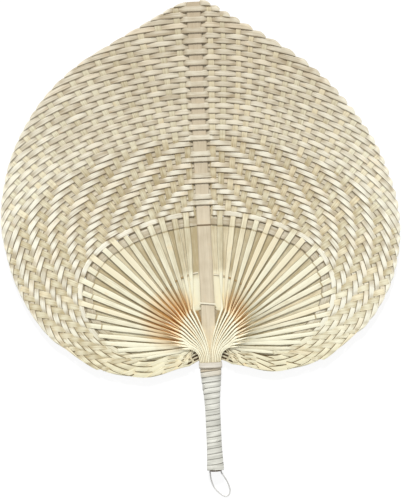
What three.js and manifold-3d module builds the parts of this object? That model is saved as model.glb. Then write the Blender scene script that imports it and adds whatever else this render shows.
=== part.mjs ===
// A woven hand fan: a heart-shaped blade of split bamboo on a wrapped handle, with a hanging loop.
// Millimetres. The blade lies flat with its tip towards +Y, and the throat, where the ribs part,
// is the centre from which the blade and the handle are measured.

import * as THREE from 'three';
import Module from 'manifold-3d';

const wasm = await Module();
wasm.setup();

const { Vector2, Vector3 } = THREE;
const { clamp, degToRad, lerp, smoothstep } = THREE.MathUtils;

// Blade outline
const BLADE_WIDTH = 297.8;
const WIDEST_Y = 81.8;
const TIP_RADIUS = 34;
const SHOULDER_RADIUS = 153.8;
const SHOULDER_SLOPE = 30;
const LOBE_RADIUS = 122;
const LOBE_ANGLE = 50.5;
const LOWER_LOBE_RADIUS = 78.8;

// Splay, the open round where the ribs show bare
const SPLAY_TOP = 91.3;
const SPLAY_TOP_RADIUS = 144;
const SPLAY_SIDE_RADIUS = 46.2;
const SPLAY_JOIN_ANGLE = 30.2;

// Ribs, counted outwards from the spine on each side
const RIBS_PER_SIDE = 30;
const RIBS_PER_STAVE = 5;
const FIRST_RIB_ANGLE = 5.6;
const LAST_RIB_ANGLE = 103;
const FIRST_RIB_LEAN = 3;
const RIB_WIDTH = 3.9;
const RIB_FILL = 0.72;
const RIB_THICKNESS = 0.4;

// Palm, where the ribs turn from on edge to flat
const PALM_RADIUS = 22;
const PALM_FIRST_ANGLE = 18;
const PALM_LAST_ANGLE = 110;
const PALM_RIB_WIDTH = 2.2;
const BUTT_TOP = -14;
const RIB_ROOT = -16;
const BEND_SHARE = 0.42;

// Rows of weft
const ROW_PITCH = 5.2;
const WEFT_WIDTH = 4.7;
const WEFT_THICKNESS = 0.4;
const WEFT_END_WIDTH = 1.2;
const END_HALVINGS = 8;
const FIRST_PLAIN_ROW = 13;
const WEAVE_GAP = 0.28;
const WEAVE_SIDE_GAP = 0.12;

// Ends of the lowest rows, which tuck in beside the bundle above the collar
const TAIL_TOP = -12;
const TAIL_BOTTOM = -21.5;
const TAIL_GAP = 0.35;
const TAIL_STEPS = 6;

// Spine
const SPINE_WIDTH = 10.5;
const SPINE_THICKNESS = 1;
const SPINE_SIDE_GAP = 0.35;

// Bound handle
const HANDLE_END = -104;
const HANDLE_TOP_WIDTH = 16.4;
const HANDLE_WAIST_WIDTH = 11.4;
const HANDLE_END_WIDTH = 12.6;
const HANDLE_TOP_DEPTH = 11.2;
const HANDLE_WAIST_DEPTH = 9.4;
const HANDLE_WAIST_TOP = -58;
const HANDLE_WAIST_END = -82;
const BUNDLE_FILL = 0.86;
const STAVE_GAP = 0.3;
const FIT_GAP = 0.3;

// Binding, one flat strip wound round the handle
const BINDING_TURNS = 18;
const TURN_PITCH = 4.15;
const BINDING_TUCK = 0.8;
const BINDING_WIDTH = 3.6;
const BINDING_THICKNESS = 0.5;
const TURN_STEPS = 18;
const LEAST_TURN_GAP = 0.4;

// Collar, the smooth band at the top of the binding
const COLLAR_TOP = -22;
const COLLAR_LENGTH = 4.6;
const COLLAR_THICKNESS = 0.8;
const COLLAR_FLAT_CUT = 0.35;
const COLLAR_STEPS = 32;

// Ties in the splay
const TIE_RADIUS = 42.5;
const TIE_ANGLE = 50;
const TIE_WIDTH = 1.3;
const TIE_THICKNESS = 0.5;
const SPINE_TIE_Y = 22.5;
const SPINE_TIE_HALF = 7.2;
const SPINE_TIE_WIDTH = 1.4;
const SPINE_TIE_THICKNESS = 0.35;

// Hanging loop, a limp cord
const LOOP_DIAMETER = 1.1;
const LOOP_HALF_SPREAD = 4.2;
const LOOP_SIDES = 8;
const LOOP_STEPS = 24;

const FRONT = 1;
const BACK = -1;

const WEFT_CLEAR = RIB_THICKNESS / 2 + WEAVE_GAP + WEFT_THICKNESS / 2;
const WEFT_SPINE_CLEAR = SPINE_THICKNESS / 2 + WEAVE_GAP + WEFT_THICKNESS / 2;
const LAYER_Z = SPINE_THICKNESS / 2 + FIT_GAP;
const RIB_PITCH = (LAST_RIB_ANGLE - FIRST_RIB_ANGLE) / (RIBS_PER_SIDE - 1);
const PALM_PITCH = (PALM_LAST_ANGLE - PALM_FIRST_ANGLE) / (RIBS_PER_SIDE - 1);

// A unit vector turned clockwise from +Y
function heading(degrees) {
  const angle = degToRad(degrees);
  return new Vector2(Math.sin(angle), Math.cos(angle));
}

function pointAt(line, distance) {
  return line.base.clone().addScaledVector(line.dir, distance);
}

// The same line moved outwards, away from the spine
function shifted(line, distance) {
  const side = new Vector2(line.dir.y, -line.dir.x);
  return { base: line.base.clone().addScaledVector(side, distance), dir: line.dir };
}

// The far crossing of a line and a circle, as a distance along the line
function circleDistance(line, centre, radius) {
  const offset = line.base.clone().sub(centre);
  const along = offset.dot(line.dir);
  const rest = along * along - offset.lengthSq() + radius * radius;
  return rest < 0 ? NaN : Math.sqrt(rest) - along;
}

const slope = degToRad(SHOULDER_SLOPE);
const shoulderCentre = new Vector2(BLADE_WIDTH / 2 - SHOULDER_RADIUS, WIDEST_Y);
const shoulderRise = (SHOULDER_RADIUS + shoulderCentre.x * Math.sin(slope)) / Math.cos(slope);
const tipCentreY = WIDEST_Y + shoulderRise - TIP_RADIUS / Math.cos(slope);
const TIP_Y = tipCentreY + TIP_RADIUS;
const lobeInset = LOBE_RADIUS - LOWER_LOBE_RADIUS;
const LOBE_BOTTOM = WIDEST_Y - lobeInset * Math.sin(degToRad(LOBE_ANGLE)) - LOWER_LOBE_RADIUS;

// As many whole rows as fit between the splay and the tip
const ROWS = Math.floor((TIP_Y - SPLAY_TOP) / ROW_PITCH);

// The right half of the blade's outline, from the tip round to the collar
function bladeOutline() {
  const lobeEnd = degToRad(LOBE_ANGLE);
  const lobeX = BLADE_WIDTH / 2 - LOBE_RADIUS;
  const lowerX = lobeX + lobeInset * Math.cos(lobeEnd);
  const lowerY = LOBE_BOTTOM + LOWER_LOBE_RADIUS;
  const outline = new THREE.Path();
  outline.absarc(0, tipCentreY, TIP_RADIUS, Math.PI / 2, Math.PI / 2 - slope, true);
  outline.absarc(shoulderCentre.x, WIDEST_Y, SHOULDER_RADIUS, Math.PI / 2 - slope, 0, true);
  outline.absarc(lobeX, WIDEST_Y, LOBE_RADIUS, 0, -lobeEnd, true);
  outline.absarc(lowerX, lowerY, LOWER_LOBE_RADIUS, -lobeEnd, -Math.PI / 2, true);
  outline.bezierCurveTo(lowerX * 0.6, LOBE_BOTTOM, lowerX * 0.4, TAIL_BOTTOM, 0, TAIL_BOTTOM);
  return outline.getPoints(20);
}

const outlinePoints = bladeOutline();

// The distance along a line at which it leaves the blade
function rimDistance(line) {
  let farthest = 0;
  for (let k = 1; k < outlinePoints.length; k++) {
    const start = outlinePoints[k - 1];
    const edge = outlinePoints[k].clone().sub(start);
    const offset = start.clone().sub(line.base);
    const turn = line.dir.cross(edge);
    const share = offset.cross(line.dir) / turn;
    const distance = offset.cross(edge) / turn;
    if (share >= 0 && share <= 1 && distance > farthest) {
      farthest = distance;
    }
  }
  return farthest;
}

const splayTopCentre = new Vector2(0, SPLAY_TOP - SPLAY_TOP_RADIUS);
const splaySideCentre = heading(SPLAY_JOIN_ANGLE)
  .multiplyScalar(SPLAY_TOP_RADIUS - SPLAY_SIDE_RADIUS)
  .add(splayTopCentre);

// The distance along a line to the curve that lies a given offset outside the splay's edge
function rowDistance(line, offset) {
  const top = circleDistance(line, splayTopCentre, SPLAY_TOP_RADIUS + offset);
  const place = pointAt(line, top).sub(splayTopCentre);
  if (Math.atan2(place.x, place.y) <= degToRad(SPLAY_JOIN_ANGLE)) {
    return top;
  }
  return circleDistance(line, splaySideCentre, SPLAY_SIDE_RADIUS + offset);
}

// Joins rings of points into one closed body with its faces outwards
function loft(rings) {
  const sides = rings[0].length;
  const last = (rings.length - 1) * sides;
  const index = [];
  for (let start = 0; start < last; start += sides) {
    for (let side = 0; side < sides; side++) {
      const a = start + side;
      const b = start + ((side + 1) % sides);
      index.push(a, b, b + sides, a, b + sides, a + sides);
    }
  }
  for (let side = 1; side < sides - 1; side++) {
    index.push(0, side + 1, side, last, last + side, last + side + 1);
  }
  return facedOutwards(rings.flat(), index);
}

// A geometry whose triangles are turned over if they face inwards
function facedOutwards(points, index) {
  let volume = 0;
  for (let k = 0; k < index.length; k += 3) {
    const [a, b, c] = [points[index[k]], points[index[k + 1]], points[index[k + 2]]];
    volume += a.dot(b.clone().cross(c));
  }
  const geometry = new THREE.BufferGeometry().setFromPoints(points);
  geometry.setIndex(volume < 0 ? index.reverse() : index);
  geometry.computeVertexNormals();
  return geometry;
}

function toSolid(geometry) {
  const vertProperties = new Float32Array(geometry.getAttribute('position').array);
  const triVerts = new Uint32Array(geometry.getIndex().array);
  return new wasm.Manifold(new wasm.Mesh({ numProp: 3, vertProperties, triVerts }));
}

function fromSolid(solid) {
  const { vertProperties, triVerts } = solid.getMesh();
  const geometry = new THREE.BufferGeometry();
  geometry.setAttribute('position', new THREE.BufferAttribute(vertProperties, 3));
  geometry.setIndex(new THREE.BufferAttribute(triVerts, 1));
  geometry.computeVertexNormals();
  return geometry;
}

function mirrored(rings) {
  return rings.map((ring) => ring.map((p) => new Vector3(-p.x, p.y, p.z)));
}

// The width and depth of the bound handle at a height, as half axes
function handleOval(y) {
  const top = smoothstep(y, HANDLE_WAIST_TOP, COLLAR_TOP);
  const end = smoothstep(-y, -HANDLE_WAIST_END, -HANDLE_END);
  const waist = lerp(HANDLE_WAIST_WIDTH, HANDLE_END_WIDTH, end);
  return {
    a: lerp(waist, HANDLE_TOP_WIDTH, top) / 2,
    b: lerp(HANDLE_WAIST_DEPTH, HANDLE_TOP_DEPTH, top) / 2,
  };
}

// The oval that the bundle of staves fills, inside the binding
function coreOval(y) {
  const { a, b } = handleOval(y);
  const wall = BINDING_THICKNESS + FIT_GAP;
  return { a: a - wall, b: b - wall };
}

function ovalHeight(oval, x) {
  return oval.b * Math.sqrt(Math.max(0, 1 - (x / oval.a) ** 2));
}

// Where a rib lies in the weave, in the splay, in the palm and in its stave
function makeRib(index) {
  const angle = FIRST_RIB_ANGLE + index * RIB_PITCH;
  const ray = { base: new Vector2(0, 0), dir: heading(angle) };
  const edge = pointAt(ray, rowDistance(ray, 0));
  const layerIndex = Math.floor(index / 2);
  return {
    index,
    layer: index % 2 ? FRONT : BACK,
    line: { base: edge, dir: heading(angle - FIRST_RIB_LEAN * 0.5 ** index) },
    palm: heading(PALM_FIRST_ANGLE + index * PALM_PITCH).multiplyScalar(PALM_RADIUS),
    stave: Math.floor(layerIndex / RIBS_PER_STAVE),
    place: layerIndex % RIBS_PER_STAVE,
  };
}

const ribs = Array.from({ length: RIBS_PER_SIDE }, (_, index) => makeRib(index));
const STAVES_PER_LAYER = Math.max(...ribs.map((rib) => rib.stave)) + 1;
const allRows = Array.from({ length: ROWS }, (_, row) => row);

// A rib narrows towards the throat with the room between its neighbours
function ribWidth(point, layering = 0) {
  const room = point.length() * degToRad(RIB_PITCH) * RIB_FILL * (1 + layering);
  return clamp(room, PALM_RIB_WIDTH, RIB_WIDTH);
}

// A rectangular ring across a rib: tilt 90 stands it on edge, layering 1 lifts it off the spine
function ribRing(rib, point, dir, tilt, layering) {
  const width = ribWidth(point, layering);
  const turn = degToRad(tilt);
  const lift = LAYER_Z + (width * Math.sin(turn) + RIB_THICKNESS * Math.cos(turn)) / 2;
  const side = new Vector3(dir.y, -dir.x, 0);
  const across = side.clone().multiplyScalar(Math.cos(turn)).setZ(Math.sin(turn) * rib.layer);
  const through = side.multiplyScalar(-Math.sin(turn)).setZ(Math.cos(turn) * rib.layer);
  const centre = new Vector3(point.x, point.y, rib.layer * layering * lift);
  const corners = [[-1, -1], [1, -1], [1, 1], [-1, 1]];
  return corners.map(([u, v]) => centre
    .clone()
    .addScaledVector(across, (u * width) / 2)
    .addScaledVector(through, (v * RIB_THICKNESS) / 2));
}

// The rib's end follows the rim
function ribEnd(rib) {
  const half = ribWidth(pointAt(rib.line, rimDistance(rib.line))) / 2;
  const corners = [[-1, -1], [1, -1], [1, 1], [-1, 1]];
  return corners.map(([u, v]) => {
    const line = shifted(rib.line, u * half);
    const point = pointAt(line, rimDistance(line));
    return new Vector3(point.x, point.y, (v * rib.layer * RIB_THICKNESS) / 2);
  });
}

// The span of a stave's butt across the bundle, as shares of the core's half width
function buttSpan(stave) {
  const share = BUNDLE_FILL / STAVES_PER_LAYER;
  return [stave * share, (stave + 1) * share];
}

function rootX(rib) {
  const [inner, outer] = buttSpan(rib.stave).map((share) => share * coreOval(BUTT_TOP).a);
  const room = outer - inner - STAVE_GAP - RIB_THICKNESS;
  const share = (rib.place + 0.5) / RIBS_PER_STAVE;
  return inner + STAVE_GAP / 2 + RIB_THICKNESS / 2 + room * share;
}

// One rib, from its root in the stave's butt through the palm and the splay to the rim
function ribRings(rib) {
  const root = new Vector2(rootX(rib), RIB_ROOT);
  const start = new Vector2(root.x, BUTT_TOP);
  const splay = rib.line.base.clone().sub(rib.palm);
  const out = splay.clone().normalize();
  const reach = BEND_SHARE * start.distanceTo(rib.palm);
  const rise = new Vector2(start.x, start.y + reach);
  const bend = rib.palm.clone().addScaledVector(out, -reach);
  const curve = new THREE.CubicBezierCurve(start, rise, bend, rib.palm);
  const rings = [ribRing(rib, root, new Vector2(0, 1), 90, 1)];
  for (const share of [0, 0.5]) {
    rings.push(ribRing(rib, curve.getPoint(share), curve.getTangent(share), 90, 1));
  }
  const turns = [[0, 90, 1], [0.15, 50, 1], [0.3, 0, 1], [0.85, 0, 0], [1, 0, 0]];
  for (const [share, tilt, layering] of turns) {
    const point = rib.palm.clone().addScaledVector(splay, share);
    rings.push(ribRing(rib, point, out, tilt, layering));
  }
  const fullRadius = RIB_WIDTH / (degToRad(RIB_PITCH) * RIB_FILL);
  const full = circleDistance(rib.line, new Vector2(0, 0), fullRadius);
  if (full > RIB_WIDTH && full < rimDistance(rib.line) - RIB_WIDTH) {
    rings.push(ribRing(rib, pointAt(rib.line, full), rib.line.dir, 0, 0));
  }
  rings.push(ribEnd(rib));
  return rings;
}

// The unsplit butt of a stave, which runs down inside the handle
function buttRings(layer, stave) {
  const heights = [BUTT_TOP, COLLAR_TOP, -40, HANDLE_WAIST_TOP, HANDLE_WAIST_END, HANDLE_END];
  return heights.map((y) => {
    const oval = coreOval(y);
    const [inner, outer] = buttSpan(stave).map((share) => share * oval.a);
    const near = inner + STAVE_GAP / 2;
    const far = outer - STAVE_GAP / 2;
    const corners = [
      [near, LAYER_Z],
      [far, LAYER_Z],
      [far, ovalHeight(oval, far)],
      [near, ovalHeight(oval, near)],
    ];
    return corners.map(([x, z]) => new Vector3(x, y, layer * z));
  });
}

// A stave of bamboo: its butt, split at the throat into ribs
function staveGeometry(side, layer, stave) {
  const place = side < 0 ? mirrored : (rings) => rings;
  let solid = toSolid(loft(place(buttRings(layer, stave))));
  for (const rib of ribs) {
    if (rib.layer === layer && rib.stave === stave) {
      solid = solid.add(toSolid(loft(place(ribRings(rib)))));
    }
  }
  return fromSolid(solid);
}

function weftOverRib(row, index) {
  return row < FIRST_PLAIN_ROW ? (index + row) % 4 < 2 : (index + row) % 2 === 0;
}

function weftOverSpine(row) {
  return row < FIRST_PLAIN_ROW ? row % 4 > 1 : row % 2 === 1;
}

// A ring of weft on a line that crosses the row, or null where the row has run out at the rim
function weftRing(line, row, z) {
  const inner = rowDistance(line, row * ROW_PITCH);
  const outer = Math.min(rowDistance(line, row * ROW_PITCH + WEFT_WIDTH), rimDistance(line));
  if (!(outer - inner >= WEFT_END_WIDTH)) {
    return null;
  }
  return stripRing(pointAt(line, inner), pointAt(line, outer), z, WEFT_THICKNESS);
}

function stripRing(inner, outer, z, thickness) {
  const [low, high] = [z - thickness / 2, z + thickness / 2];
  return [
    new Vector3(inner.x, inner.y, low),
    new Vector3(outer.x, outer.y, low),
    new Vector3(outer.x, outer.y, high),
    new Vector3(inner.x, inner.y, high),
  ];
}

// Half the width that a weft bridges over a rib
function ribReach(rib, row) {
  const point = pointAt(rib.line, rowDistance(rib.line, row * ROW_PITCH + WEFT_WIDTH / 2));
  return ribWidth(point) / 2 + WEAVE_SIDE_GAP;
}

// A weft that passes one rib peaks over its middle, high enough to clear the rib's edges
function peakHeight(rib, row) {
  const point = pointAt(rib.line, rowDistance(rib.line, row * ROW_PITCH + WEFT_WIDTH / 2));
  const pitch = point.length() * degToRad(RIB_PITCH);
  return WEFT_CLEAR / (1 - (2 * ribReach(rib, row)) / pitch);
}

// The rings at one rib: at both of its edges, at the edge where the weft changes face, or on top
function ringsAtRib(rib, row) {
  const over = weftOverRib(row, rib.index);
  const sign = over ? 1 : -1;
  const reach = ribReach(rib, row);
  if (row >= FIRST_PLAIN_ROW && rib.index > 0) {
    return [weftRing(rib.line, row, sign * peakHeight(rib, row))];
  }
  const rings = [];
  if (rib.index === 0 || weftOverRib(row, rib.index - 1) !== over) {
    rings.push(weftRing(shifted(rib.line, -reach), row, sign * WEFT_CLEAR));
  }
  if (rib.index === RIBS_PER_SIDE - 1 || weftOverRib(row, rib.index + 1) !== over) {
    rings.push(weftRing(shifted(rib.line, reach), row, sign * WEFT_CLEAR));
  }
  return rings;
}

// A line part of the way from one line to the next
function between(line, next, share) {
  return {
    base: line.base.clone().lerp(next.base, share),
    dir: line.dir.clone().lerp(next.dir, share).normalize(),
  };
}

// The row's last ring, past its last rib, where the rim has narrowed it to its end width
function endRing(line, next, row, z) {
  let [near, far] = [0, 1];
  for (let halving = 0; halving < END_HALVINGS; halving++) {
    const middle = (near + far) / 2;
    if (weftRing(between(line, next, middle), row, z)) {
      near = middle;
    } else {
      far = middle;
    }
  }
  return weftRing(between(line, next, near), row, z);
}

// The lowest point of a curve that goes round the lobe a given offset outside the splay
function lobeLow(offset) {
  const y = splaySideCentre.y - SPLAY_SIDE_RADIUS - offset;
  return new Vector2(splaySideCentre.x, Math.max(y, LOBE_BOTTOM));
}

const TAIL_ROWS = allRows
  .filter((row) => lobeLow(row * ROW_PITCH).y - LOBE_BOTTOM > WEFT_END_WIDTH)
  .length;

// The edge of a row's tail, from the last rib round the bottom of the lobe to the bundle
function tailEdge(start, low, end) {
  const outwards = start.clone().sub(splaySideCentre);
  const along = new Vector2(outwards.y, -outwards.x).normalize();
  const reach = (start.x - low.x) / 2;
  const path = new THREE.CurvePath();
  const round = start.clone().addScaledVector(along, reach);
  const bottom = new Vector2(low.x + reach / 2, low.y);
  path.add(new THREE.CubicBezierCurve(start, round, bottom, low));
  const leave = new Vector2(lerp(low.x, end.x, 0.3), low.y);
  const arrive = new Vector2(lerp(low.x, end.x, 0.6), end.y);
  path.add(new THREE.CubicBezierCurve(low, leave, arrive, end));
  return path;
}

// The lowest rows leave the last rib and run on to the bundle above the collar
function tailRings(row, lastRing) {
  const room = (TAIL_TOP - TAIL_BOTTOM) / TAIL_ROWS;
  const endX = BUNDLE_FILL * coreOval(TAIL_TOP).a + 3 * FIT_GAP;
  const edges = [0, 1].map((edge) => {
    const start = new Vector2(lastRing[edge].x, lastRing[edge].y);
    const endY = TAIL_TOP - (row + edge) * room + edge * TAIL_GAP;
    const low = lobeLow(row * ROW_PITCH + edge * WEFT_WIDTH);
    return tailEdge(start, low, new Vector2(endX, endY)).curves;
  });
  const rings = [];
  for (let step = 1; step <= TAIL_STEPS; step++) {
    const part = step > TAIL_STEPS / 2 ? 1 : 0;
    const share = (2 * step) / TAIL_STEPS - part;
    const [inner, outer] = edges.map((curves) => curves[part].getPoint(share));
    const fall = Math.max(0, 1 - step / 2);
    rings.push(stripRing(inner, outer, lastRing[0].z * fall, WEFT_THICKNESS));
  }
  return rings;
}

// The right half of a row, from the spine outwards
function rowHalf(row) {
  const edge = SPINE_WIDTH / 2 + SPINE_SIDE_GAP;
  const beside = { base: new Vector2(edge, 0), dir: new Vector2(0, 1) };
  const sign = weftOverSpine(row) ? 1 : -1;
  const rings = [weftRing(beside, row, sign * WEFT_SPINE_CLEAR)];
  let passed = beside;
  for (const rib of ribs) {
    const reach = ribReach(rib, row);
    if (!weftRing(shifted(rib.line, reach), row, 0)) {
      const z = weftOverRib(row, rib.index - 1) ? WEFT_CLEAR : -WEFT_CLEAR;
      return [...rings, endRing(passed, shifted(rib.line, -reach), row, z)];
    }
    rings.push(...ringsAtRib(rib, row));
    passed = shifted(rib.line, reach);
  }
  return row < TAIL_ROWS ? [...rings, ...tailRings(row, rings.at(-1))] : rings;
}

function weftGeometry(row) {
  const half = rowHalf(row);
  return loft([...mirrored(half).reverse(), ...half]);
}

// The spine: a slat from the tip to the handle's end, narrowed where the handle grips it
function spineGeometry() {
  const half = SPINE_WIDTH / 2;
  const shape = new THREE.Shape();
  const gripped = (y) => Math.min(half, BUNDLE_FILL * coreOval(y).a);
  const tipAngle = Math.acos(half / TIP_RADIUS);
  shape.moveTo(-gripped(HANDLE_END), HANDLE_END);
  for (const y of [HANDLE_WAIST_END, HANDLE_WAIST_TOP, COLLAR_TOP]) {
    shape.lineTo(-gripped(y), y);
  }
  shape.lineTo(-half, 0);
  shape.absarc(0, tipCentreY, TIP_RADIUS, Math.PI - tipAngle, tipAngle, true);
  shape.lineTo(half, 0);
  for (const y of [COLLAR_TOP, HANDLE_WAIST_TOP, HANDLE_WAIST_END, HANDLE_END]) {
    shape.lineTo(gripped(y), y);
  }
  const options = { depth: SPINE_THICKNESS, bevelEnabled: false, curveSegments: 4 };
  return new THREE.ExtrudeGeometry(shape, options).translate(0, 0, -SPINE_THICKNESS / 2);
}

// The binding's rings: a flat strip that falls one pitch a turn, its start hidden by the collar
function bindingRings() {
  const rings = [];
  const top = COLLAR_TOP - BINDING_TUCK - BINDING_WIDTH / 2;
  for (let step = 0; step <= BINDING_TURNS * TURN_STEPS; step++) {
    const turn = step / TURN_STEPS;
    const angle = turn * 2 * Math.PI;
    const y = top - turn * TURN_PITCH;
    const { a, b } = handleOval(y);
    const corners = [
      [0, BINDING_WIDTH / 2],
      [0, -BINDING_WIDTH / 2],
      [BINDING_THICKNESS, -BINDING_WIDTH / 2],
      [BINDING_THICKNESS, BINDING_WIDTH / 2],
    ];
    rings.push(corners.map(([depth, rise]) => new Vector3(
      (a - depth) * Math.sin(angle),
      y + rise,
      (depth - b) * Math.cos(angle),
    )));
  }
  return rings;
}

// The least distance between neighbouring turns, measured on their points
function leastTurnGap(rings) {
  let least = Infinity;
  for (let step = TURN_STEPS; step < rings.length; step++) {
    const upper = rings[step - TURN_STEPS];
    least = Math.min(least, rings[step][0].distanceTo(upper[1]), rings[step][3].distanceTo(upper[2]));
  }
  return least;
}

function bindingGeometry() {
  const rings = bindingRings();
  const gap = leastTurnGap(rings);
  console.log(`binding: ${BINDING_TURNS} turns, least gap ${gap.toFixed(2)} mm of ${LEAST_TURN_GAP} mm`);
  return loft(rings);
}

// The collar's section is an oval ring round the first turn of the binding, with a flat underside
// on which the handle lies
const collarOval = {
  a: handleOval(COLLAR_TOP).a + FIT_GAP + COLLAR_THICKNESS,
  b: handleOval(COLLAR_TOP).b + FIT_GAP + COLLAR_THICKNESS,
};
const COLLAR_FLOOR = collarOval.b - COLLAR_FLAT_CUT;

function collarGeometry() {
  const { a, b } = collarOval;
  const section = new THREE.Shape();
  const flatAngle = Math.asin(COLLAR_FLOOR / b);
  for (let step = 0; step <= COLLAR_STEPS; step++) {
    const angle = lerp(-flatAngle, Math.PI + flatAngle, step / COLLAR_STEPS);
    const point = new Vector2(a * Math.cos(angle), b * Math.sin(angle));
    if (step === 0) {
      section.moveTo(point.x, point.y);
    } else {
      section.lineTo(point.x, point.y);
    }
  }
  const bore = new THREE.Path();
  bore.absellipse(0, 0, a - COLLAR_THICKNESS, b - COLLAR_THICKNESS, 0, 2 * Math.PI, true);
  section.holes.push(bore);
  const options = { depth: COLLAR_LENGTH, bevelEnabled: false, curveSegments: COLLAR_STEPS / 2 };
  const geometry = new THREE.ExtrudeGeometry(section, options);
  return geometry.rotateX(Math.PI / 2).translate(0, COLLAR_TOP, 0);
}

// A thin strip that passes under the front ribs and over the back ribs
function innerTieGeometry(side) {
  const first = Math.asin((SPINE_WIDTH / 2 + FIT_GAP) / TIE_RADIUS) * THREE.MathUtils.RAD2DEG;
  const rings = [];
  const steps = 10;
  for (let step = 0; step <= steps; step++) {
    const out = heading(lerp(first, TIE_ANGLE, step / steps));
    const inner = out.clone().multiplyScalar(TIE_RADIUS);
    const outer = out.clone().multiplyScalar(TIE_RADIUS + TIE_WIDTH);
    rings.push(stripRing(inner, outer, 0, TIE_THICKNESS));
  }
  return loft(side < 0 ? mirrored(rings) : rings);
}

// A short strip across the front of the spine at the throat
function spineTieGeometry() {
  const z = LAYER_Z + SPINE_TIE_THICKNESS / 2;
  const rings = [-1, 1].map((side) => stripRing(
    new Vector2(side * SPINE_TIE_HALF, SPINE_TIE_Y),
    new Vector2(side * SPINE_TIE_HALF, SPINE_TIE_Y + SPINE_TIE_WIDTH),
    z,
    SPINE_TIE_THICKNESS,
  ));
  return loft(rings);
}

// The loop leaves the handle's end, falls to the surface and lies there. Each point is
// [x, distance past the handle's end, height above the surface].
const LOOP_LAID_Z = LOOP_DIAMETER / 2 + 0.1;
const LOOP_EXIT_Z = COLLAR_FLOOR;
const LOOP_ROUTE = [
  [-LOOP_HALF_SPREAD, FIT_GAP, LOOP_EXIT_Z],
  [-LOOP_HALF_SPREAD, FIT_GAP + 1.2 * LOOP_DIAMETER, LOOP_EXIT_Z],
  [-4.1, 4, 5.5],
  [-3.7, 7, 3.7],
  [-2.9, 10.2, 1.9],
  [-1.5, 13.4, 0.9],
  [0.9, 16.6, LOOP_LAID_Z],
  [3.9, 19.2, LOOP_LAID_Z],
  [6.9, 20.5, LOOP_LAID_Z],
  [9.2, 19.4, LOOP_LAID_Z],
  [10.2, 16.6, 0.9],
  [9.8, 13.2, 1.8],
  [8.6, 9.6, 3.3],
  [6.9, 6.2, 4.9],
  [5.2, 3.4, 5.9],
  [LOOP_HALF_SPREAD, FIT_GAP + 1.2 * LOOP_DIAMETER, LOOP_EXIT_Z],
  [LOOP_HALF_SPREAD, FIT_GAP, LOOP_EXIT_Z],
];

function loopGeometry() {
  const points = LOOP_ROUTE.map(([x, past, z]) => new Vector3(x, HANDLE_END - past, z - COLLAR_FLOOR));
  const path = new THREE.CatmullRomCurve3(points, false, 'centripetal');
  const section = new THREE.Shape();
  section.absarc(0, 0, LOOP_DIAMETER / 2, 0, 2 * Math.PI, false);
  const options = { extrudePath: path, steps: LOOP_STEPS, curveSegments: LOOP_SIDES / 2 };
  return new THREE.ExtrudeGeometry(section, options);
}

const fan = new THREE.Group();
fan.position.set(0, -(TIP_Y + HANDLE_END) / 2, COLLAR_FLOOR);

function add(name, geometry, color, roughness) {
  const material = new THREE.MeshStandardMaterial({ color, roughness, metalness: 0 });
  const mesh = new THREE.Mesh(geometry, material);
  mesh.name = name;
  fan.add(mesh);
}

function addStaves() {
  for (const [sideName, side] of [['left', -1], ['right', 1]]) {
    for (const [layerName, layer] of [['front', FRONT], ['back', BACK]]) {
      for (let stave = 0; stave < STAVES_PER_LAYER; stave++) {
        const name = `stave_${sideName}_${layerName}_${stave + 1}`;
        add(name, staveGeometry(side, layer, stave), layer > 0 ? 0xe6d3a6 : 0xcdb687, 0.55);
      }
    }
  }
}

addStaves();
for (const row of allRows) {
  add(`weft_${String(row + 1).padStart(2, '0')}`, weftGeometry(row), 0xe2d3b0, 0.5);
}
add('spine', spineGeometry(), 0xd8c69c, 0.5);
add('inner_tie_left', innerTieGeometry(-1), 0xd9bf86, 0.6);
add('inner_tie_right', innerTieGeometry(1), 0xd9bf86, 0.6);
add('spine_tie', spineTieGeometry(), 0xf2e6c4, 0.5);
add('collar', collarGeometry(), 0xe4ddd2, 0.4);
add('binding', bindingGeometry(), 0xdedad0, 0.4);
add('hanging_loop', loopGeometry(), 0xf4f2ee, 0.35);

export default fan;
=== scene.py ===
"""A woven hand fan: a blade of split bamboo, a bound handle and a hanging loop.

Sizes are millimetres from the throat, the point where the ribs part, unless a name says otherwise.
"""

import logging
import math
import random
from dataclasses import dataclass, field, replace
from enum import Enum
from typing import Any, Sequence

import bpy
import numpy as np
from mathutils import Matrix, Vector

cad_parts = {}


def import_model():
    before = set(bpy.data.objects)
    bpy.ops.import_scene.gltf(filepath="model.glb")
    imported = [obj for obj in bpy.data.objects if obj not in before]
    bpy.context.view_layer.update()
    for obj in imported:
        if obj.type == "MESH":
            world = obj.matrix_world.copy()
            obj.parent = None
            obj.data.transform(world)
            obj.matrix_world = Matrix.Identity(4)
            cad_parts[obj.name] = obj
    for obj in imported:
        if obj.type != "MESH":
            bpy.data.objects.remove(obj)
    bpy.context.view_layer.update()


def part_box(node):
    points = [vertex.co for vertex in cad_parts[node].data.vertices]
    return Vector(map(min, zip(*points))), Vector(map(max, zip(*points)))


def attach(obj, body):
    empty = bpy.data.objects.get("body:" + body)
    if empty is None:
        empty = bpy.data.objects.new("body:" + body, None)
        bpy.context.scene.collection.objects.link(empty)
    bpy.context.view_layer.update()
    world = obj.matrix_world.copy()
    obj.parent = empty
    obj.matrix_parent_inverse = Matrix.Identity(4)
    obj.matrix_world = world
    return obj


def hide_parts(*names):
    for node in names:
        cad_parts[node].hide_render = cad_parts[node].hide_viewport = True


log = logging.getLogger("woven_hand_fan")

MM = 0.001
STRIP_UV = "strip"
TONE = "tone"
CREAM = "cream"
WORN_AND_SHADED = "worn_and_shaded"
UV_MM = 10.0
BLANK_WALL = 0.1
SMOOTH_BELOW = math.radians(50)
FULL_TURN = 6.283

Array = np.ndarray
Material = bpy.types.Material
Colour = tuple[float, float, float, float]
Pair = tuple[float, float]
Cut = tuple[Array, Array, Array, float, float]


class Side(Enum):
    """The half of the blade, seen from the front with the tip up."""

    LEFT = -1
    RIGHT = 1


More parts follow.
